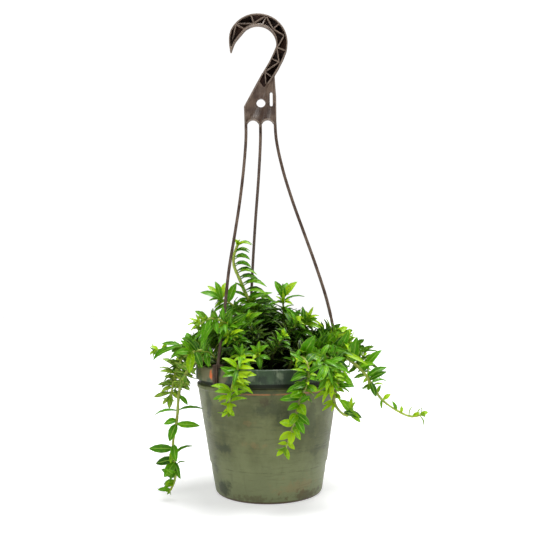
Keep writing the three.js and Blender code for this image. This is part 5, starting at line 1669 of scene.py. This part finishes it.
def try_to_grow(shoot, tries):
    """Keeps the first try that is clear of all that is there, if one is."""
    others = [other for other in shoots if other is not shoot]
    for leaf in tries:
        far = spindle(leaf, FAR_FROM)
        if any(meets(far, other) for other in fixed):
            continue
        if any(meets(far, other["tube"]) for other in others):
            continue
        if any(meets(far, blade) for other in others for blade in other["far"]):
            continue
        near = spindle(leaf, NEAR_FROM)
        if any(meets(near, blade) for blade in shoot["near"]):
            continue
        shoot["far"].append(spindle(leaf, 0))
        shoot["near"].append(near)
        shoot["leaves"].append(leaf)
        return True
    return False


# %% [markdown]
# All leaves are drafted before any is tried. A leaf of a pair that finds no clear place is left out. A single
# leaf is kept in any case, because its place is given in its list.
# %% Main leaves
drafts = []
for shoot in shoots:
    stem, line = shoot["stem"], shoot["line"]
    tries = [[single_leaf(line, single)] for single in stem["singles"]]
    rule = comb_pairs if stem["comb"] else rule_pairs
    for draft in rule(stem, line, shoot["draw"]):
        tries.append([try_leaf(draft, *attempt) for attempt in TRIES])
    drafts.append(tries)
for shoot, several in zip(shoots, drafts):
    for tries in several:
        if not try_to_grow(shoot, tries) and len(tries) == 1:
            shoot["leaves"].append(tries[0])
print(sum(len(shoot["leaves"]) for shoot in shoots), "main leaves")

# %% [markdown]
# Between the main leaves a real plant has many more: shorter side leaves all along the stems, which fill
# the mound, and a tuft of very small young leaves at each growing tip. They are added last. They may lie
# against other leaves, as they do in a thick plant, but still keep clear of pot, hanger and stems. In
# front a few dark hollows stay open and a few large leaves lie free. Each of these places is a box, given
# by two corners, into which no side leaf grows.
# %% Places in the mound
MOUND_MIDDLE = (0, 0, 128)
MOUND_REACH = (108, 88, 88)
LIT_FROM = 0.55
LIT_FADE = 0.42
HOLLOWS = [
    ((-16, -90, 130), (26, -24, 160)),
    ((47, -100, 144), (68, -58, 158)),
    ((26, -110, 158), (68, -64, 184)),
    ((-62, -110, 130), (-44, -50, 152)),
]


def lit_share(point):
    """0 for a place deep inside the mound of leaves, 1 at its outside and beyond."""
    offset = [(point[axis] - MOUND_MIDDLE[axis]) / MOUND_REACH[axis] for axis in range(3)]
    return clamped((Vector(offset).length - LIT_FROM) / LIT_FADE)


def in_hollow(leaf):
    """Says whether the root, the middle or the tip of a leaf lies in a hollow."""
    for low, high in HOLLOWS:
        for t in (0, 0.5, 1):
            point = leaf["base"] + leaf["along"] * leaf["length"] * t
            if all(low[axis] < point[axis] < high[axis] for axis in range(3)):
                return True
    return False


# %% [markdown]
# Side leaves stand round the stem in a spiral, and are longer in the shade inside the mound, where they
# reach for the light.
# %% Side leaves
FILL_FROM = 0.14
FILL_SPACING = 3.6
FILL_WIDTH = 0.29
FILL_TEST_FROM = 0.15
FILL_CLEARANCE = 0.6
SPIRAL_STEP = 2.4
FILL_TURNS = [
    (0, 0, 1), (0.5, 0.2, 0.9), (-0.5, 0.2, 0.9), (1.0, 0.3, 0.8), (-1.0, 0.3, 0.8), (0, -0.4, 0.7),
]


def try_to_fill(shoot, tries):
    """Keeps the first try that is clear of everything but other leaves."""
    blocked = [other["tube"] for other in shoots if other is not shoot] + fixed
    for leaf in tries:
        if in_hollow(leaf):
            continue
        body = spindle(leaf, FILL_TEST_FROM, FILL_CLEARANCE)
        if not any(meets(body, other) for other in blocked):
            shoot["leaves"].append(leaf)
            return


for shoot in shoots:
    stem, line, draw = shoot["stem"], shoot["line"], shoot["draw"]
    fill_to = stem["fill"] or (0.45 if stem["singles"] or stem["comb"] else 0.95)
    count = max(3, round(line[1] * (fill_to - FILL_FROM) / FILL_SPACING * stem["dense"]))
    for i in range(count):
        place = FILL_FROM + (fill_to - FILL_FROM) * (i + draw()) / count
        base, tangent = on_line(*line, place)
        across, over = ways_out(tangent)
        for half in (0, math.pi):
            turn = SPIRAL_STEP * i + half + draw() * 0.6
            outward = across * math.cos(turn) + over * math.sin(turn)
            reach = tangent * 0.35 + outward + UP * (0.1 + 0.3 * draw())
            inner = 1 - lit_share(base)
            length = (10 + 7 * draw() + 10 * inner) * stem["fill_size"]
            draft = draft_of(base, tangent, reach, length, length * FILL_WIDTH, place * 0.6)
            try_to_fill(shoot, [try_leaf(draft, *attempt) for attempt in FILL_TURNS])
    shoot["leaves"] += [single_leaf(line, extra) for extra in stem["extras"]]

# %% [markdown]
# At a growing tip the youngest leaves stand closer and closer to the stem's own direction. The comb's leaves
# are then planned again, a little wider, with their faces turned to the light in front.
# %% Young tips
TIP_LEAVES = 8
TIP_PLACE = 1.1
COMB_WIDER = 1.3
COMB_FACE = Vector((0, -0.6, 0.8))

for shoot in shoots:
    draw = shoot["draw"]
    size = shoot["stem"]["tuft"]
    tip, tangent = on_line(*shoot["line"], 0.999)
    root = tip - tangent * 2.2
    across = tangent.orthogonal().normalized()
    for i in range(TIP_LEAVES):
        outward = Matrix.Rotation(SPIRAL_STEP * i + draw(), 3, tangent) @ across
        reach = (tangent * (0.3 + 0.22 * i) + outward).normalized() * (12 - 1.1 * i) * size
        width = (4.6 - 0.35 * i) * size
        shoot["leaves"].append(leaf_between(root, tip + reach, width, tangent - outward, 0.12, TIP_PLACE))
    if shoot["stem"]["comb"]:
        for leaf in shoot["leaves"]:
            end = leaf["base"] + leaf["along"] * leaf["length"]
            width = leaf["width"] * COMB_WIDER
            leaf.update(leaf_between(leaf["base"], end, width, COMB_FACE, leaf["arch"], leaf["place"],
                                     leaf["lime"]))
print(sum(len(shoot["leaves"]) for shoot in shoots), "leaves in all")

# %% [markdown]
# ## The leaf itself
#
# A leaf could be modelled once and placed as an instance, but then all would be bent alike. So a flat grid
# is narrowed to the leaf's outline and given a little thickness once. Each copy of it is then bent into its
# place: it arches along its length, folds up from the midrib like an open book, twists a little, and waves
# at its edges. The pattern has only a few dozen faces, because there are thousands of leaves.
# %% Leaf pattern
ROWS = 6
COLUMNS = 4
LEAF_THICKNESS = 0.6
STALK = 0.13


def leaf_width(t):
    """The share of the full width at a place along the leaf, which is widest before its middle."""
    return max(STALK * (1 - t), 3.02 * t ** 0.75 * (1 - t) ** 0.85)


bm = bmesh.new()
bm.loops.layers.uv.new("leaf_uv")
bmesh.ops.create_grid(bm, x_segments=COLUMNS, y_segments=ROWS, size=0.5, calc_uvs=True)
for v in bm.verts:
    t = (1 - math.cos(math.pi * (v.co.y + 0.5))) / 2
    v.co = Vector((2 * v.co.x * leaf_width(t), t, 0))
copied = bmesh.ops.duplicate(bm, geom=bm.verts[:] + bm.edges[:] + bm.faces[:])
under_side = [item for item in copied["geom"] if isinstance(item, bmesh.types.BMFace)]
bmesh.ops.reverse_faces(bm, faces=under_side)
for face in under_side:
    face.material_index = 1
for v in {v for face in under_side for v in face.verts if not v.is_boundary}:
    v.co.z = -1.0
bmesh.ops.remove_doubles(bm, verts=[v for v in bm.verts if v.co.z > -0.5], dist=0.001)
for edge in bm.edges:
    edge.smooth = len({face.material_index for face in edge.link_faces}) == 1
leaf_pattern = bpy.data.meshes.new("leaf_pattern")
bm.to_mesh(leaf_pattern)
bm.free()
print("leaf pattern:", len(leaf_pattern.polygons), "faces")

# %% [markdown]
# The age of a leaf sets its colour. Small leaves and those near the tip are young. Leaves deep in the mound
# get painted shade on top of their age, so they are darker than old ones outside.
# %% Bend a leaf into its place
def leaf_age_and_shade(leaf, stem):
    """0 for a leaf that has just opened, 1 for a fully grown one, more where painted shade deep in the mound
    is added.
    """
    grown = clamped((leaf["length"] - 5) / 13)
    old_place = 1 - clamped((leaf["place"] - 0.86) / 0.14)
    # Painted shade: the age is raised for a leaf deep inside the mound.
    shade = 1.7 - 1.0 * lit_share(leaf["base"] + leaf["along"] * leaf["length"] * 0.6)
    return max(0.0, grown * (0.5 + 0.5 * old_place) * shade - stem["young"] - leaf["lime"])


def add_leaf(bm, growth_and_shade_layer, leaf, stem, draw):
    """Adds a copy of the leaf pattern to the shoot's bmesh and bends it to the plan."""
    old_verts, old_faces = len(bm.verts), len(bm.faces)
    bm.from_mesh(leaf_pattern)
    bm.verts.ensure_lookup_table()
    bm.faces.ensure_lookup_table()
    age_and_shade = leaf_age_and_shade(leaf, stem)
    blue = 0.5 * (0.98 * draw() + (leaf["place"] < stem["worn"])) + 0.002
    for face in bm.faces[old_faces:]:
        under = float(face.material_index)
        face.material_index = 0
        for loop in face.loops:
            loop[growth_and_shade_layer] = (age_and_shade / AGE_AND_SHADE_TOP, under, blue, 1.0)
    fold = 0.15 + 0.4 * draw()
    twist = (draw() - 0.5) * 0.9
    arch = leaf["arch"] + (draw() - 0.5) * 0.06
    droop = 0.06 + 0.1 * draw()
    wave, phase = 0.05 + 0.08 * draw(), 6.28 * draw()
    half, length = leaf["width"] / 2 * stem["slim"], leaf["length"]
    for v in bm.verts[old_verts:]:
        a, t, level = v.co
        turn = twist * (t - 0.4)
        side = leaf["side"] * math.cos(turn) + leaf["face"] * math.sin(turn)
        face = leaf["face"] * math.cos(turn) - leaf["side"] * math.sin(turn)
        bow = length * (arch * 4 * t * (1 - t) - droop * t ** 3)
        rise = half * (fold * abs(a) + wave * a * math.sin(7 * t + phase) - 0.3 * fold * a * a)
        point = leaf["base"] + leaf["along"] * length * t + side * a * half
        v.co = (point + face * (bow + rise + LEAF_THICKNESS * level)) * MM


# %% [markdown]
# ## Stems
#
# A stem is a thin tube that tapers from the soil to its tip and thickens a little at each joint where a
# leaf pair stands. A curve with a bevel would give the tube too, but not its joints. Each stem and its
# leaves are one piece, as they grew. Its thickness in the list holds from a third of its length, so that
# every stem still fits its hole.
# %% Grow the stems
STEM_SIDES = 7
STEM_STEP = 4.0
ROOT_R = 1.8
TAPER = 0.9
JOINT_SWELL = 0.28


def stem_radius(t, joints, thick):
    swell = max([math.exp(-((t - joint) * 55) ** 2) for joint in joints] or [0])
    return (ROOT_R - TAPER * t) * (1 + JOINT_SWELL * swell) * (1 + (thick - 1) * min(1, 3 * t))


for shoot in shoots:
    stem = shoot["stem"]
    points, length = spaced_route(shoot["points"], step_length=STEM_STEP)
    joints = sorted({round(leaf["place"], 2) for leaf in shoot["leaves"] if leaf["place"] < 1})
    radii = [stem_radius(i / (len(points) - 1), joints, stem["thick"]) for i in range(len(points))]
    bm = bmesh.new()
    bm.loops.layers.uv.new("leaf_uv")
    tube(bm, points, radii, STEM_SIDES)
    layer = bm.loops.layers.float_color.new("growth_and_shade")
    root, reach = points[0] * MM, (points[-1] - points[0]).length * MM
    for face in bm.faces:
        face.material_index = 1
        for loop in face.loops:
            co = loop.vert.co
            weathering = stem["bark"] * (1 - 0.9 * min(1.0, (co - root).length / reach))
            loop[layer] = (weathering, 1 - lit_share(co / MM), 0.5, 1.0)
    for leaf in shoot["leaves"]:
        add_leaf(bm, layer, leaf, stem, shoot["draw"])
    piece = object_from(bm, "shoot_" + stem["name"], [leaf_skin, stem_skin])
    settle(piece, "stem_" + stem["name"])

# %% [markdown]
# ## Floor and light
#
# The object stands on a plain white floor before a plain white surround, as in a studio. The world's
# background could be white as well, but it would light the plant too. So the surround is a large shell that
# glows white and lights nothing, and the light on the plant is set apart from it. That light is soft: a
# pale sky from all sides, a broad key from above on the right, and a weaker fill from the front.
# %% Floor and surround
FLOOR_SIZE = 16.0
FLOOR_GREY = (0.6, 0.6, 0.6, 1.0)
FLOOR_GLOW = 0.56
SURROUND_R = 9.0
BLACK = (0.0, 0.0, 0.0, 1.0)
WHITE = (1.0, 1.0, 1.0, 1.0)

floor_finish = new_material(
    "floor_paper", Roughness=0.9, Base_Color=FLOOR_GREY, Emission_Color=WHITE, Emission_Strength=FLOOR_GLOW,
)[0]
bm = bmesh.new()
bmesh.ops.create_grid(bm, x_segments=1, y_segments=1, size=FLOOR_SIZE / 2)
floor = object_from(bm, "floor", [floor_finish])
floor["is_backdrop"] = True

surround_finish = new_material(
    "surround_white", Base_Color=BLACK, Emission_Color=WHITE, Emission_Strength=1.0,
)[0]
bm = bmesh.new()
bmesh.ops.create_icosphere(bm, subdivisions=4, radius=SURROUND_R)
surround = object_from(bm, "surround", [surround_finish])
for rays in ("diffuse", "glossy", "transmission", "shadow"):
    setattr(surround, "visible_" + rays, False)
surround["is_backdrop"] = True

# %% Light
SKY = 0.17
world = bpy.data.worlds.new("pale_sky")
world.use_nodes = True
sky = world.node_tree.nodes["Background"].inputs
sky["Color"].default_value = WHITE
sky["Strength"].default_value = SKY
scene.world = world


def broad_light(name, direction, softness, strength):
    """A far light from a direction, as soft as a panel that fills an angle in degrees."""
    data = bpy.data.lights.new(name, "SUN")
    data.energy = strength
    data.angle = math.radians(softness)
    lamp = bpy.data.objects.new(name, data)
    lamp.matrix_world = Vector(direction).to_track_quat("Z", "Y").to_matrix().to_4x4()
    scene.collection.objects.link(lamp)


broad_light("key", (0.16, 0.1, 1.0), 26, 4.1)
broad_light("fill", (-0.2, -1.0, 0.9), 40, 0.7)
scene.view_settings.view_transform = "Standard"

# %% [markdown]
# ## Size
#
# The box of the dressed object is kept beside the box of the plain model.
# %% Size
low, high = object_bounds()
sizes = {"cad": [list(cad_low), list(cad_high)], "visual": [list(low), list(high)]}
print("dressed model:", [round(v, 4) for v in high - low], "m")
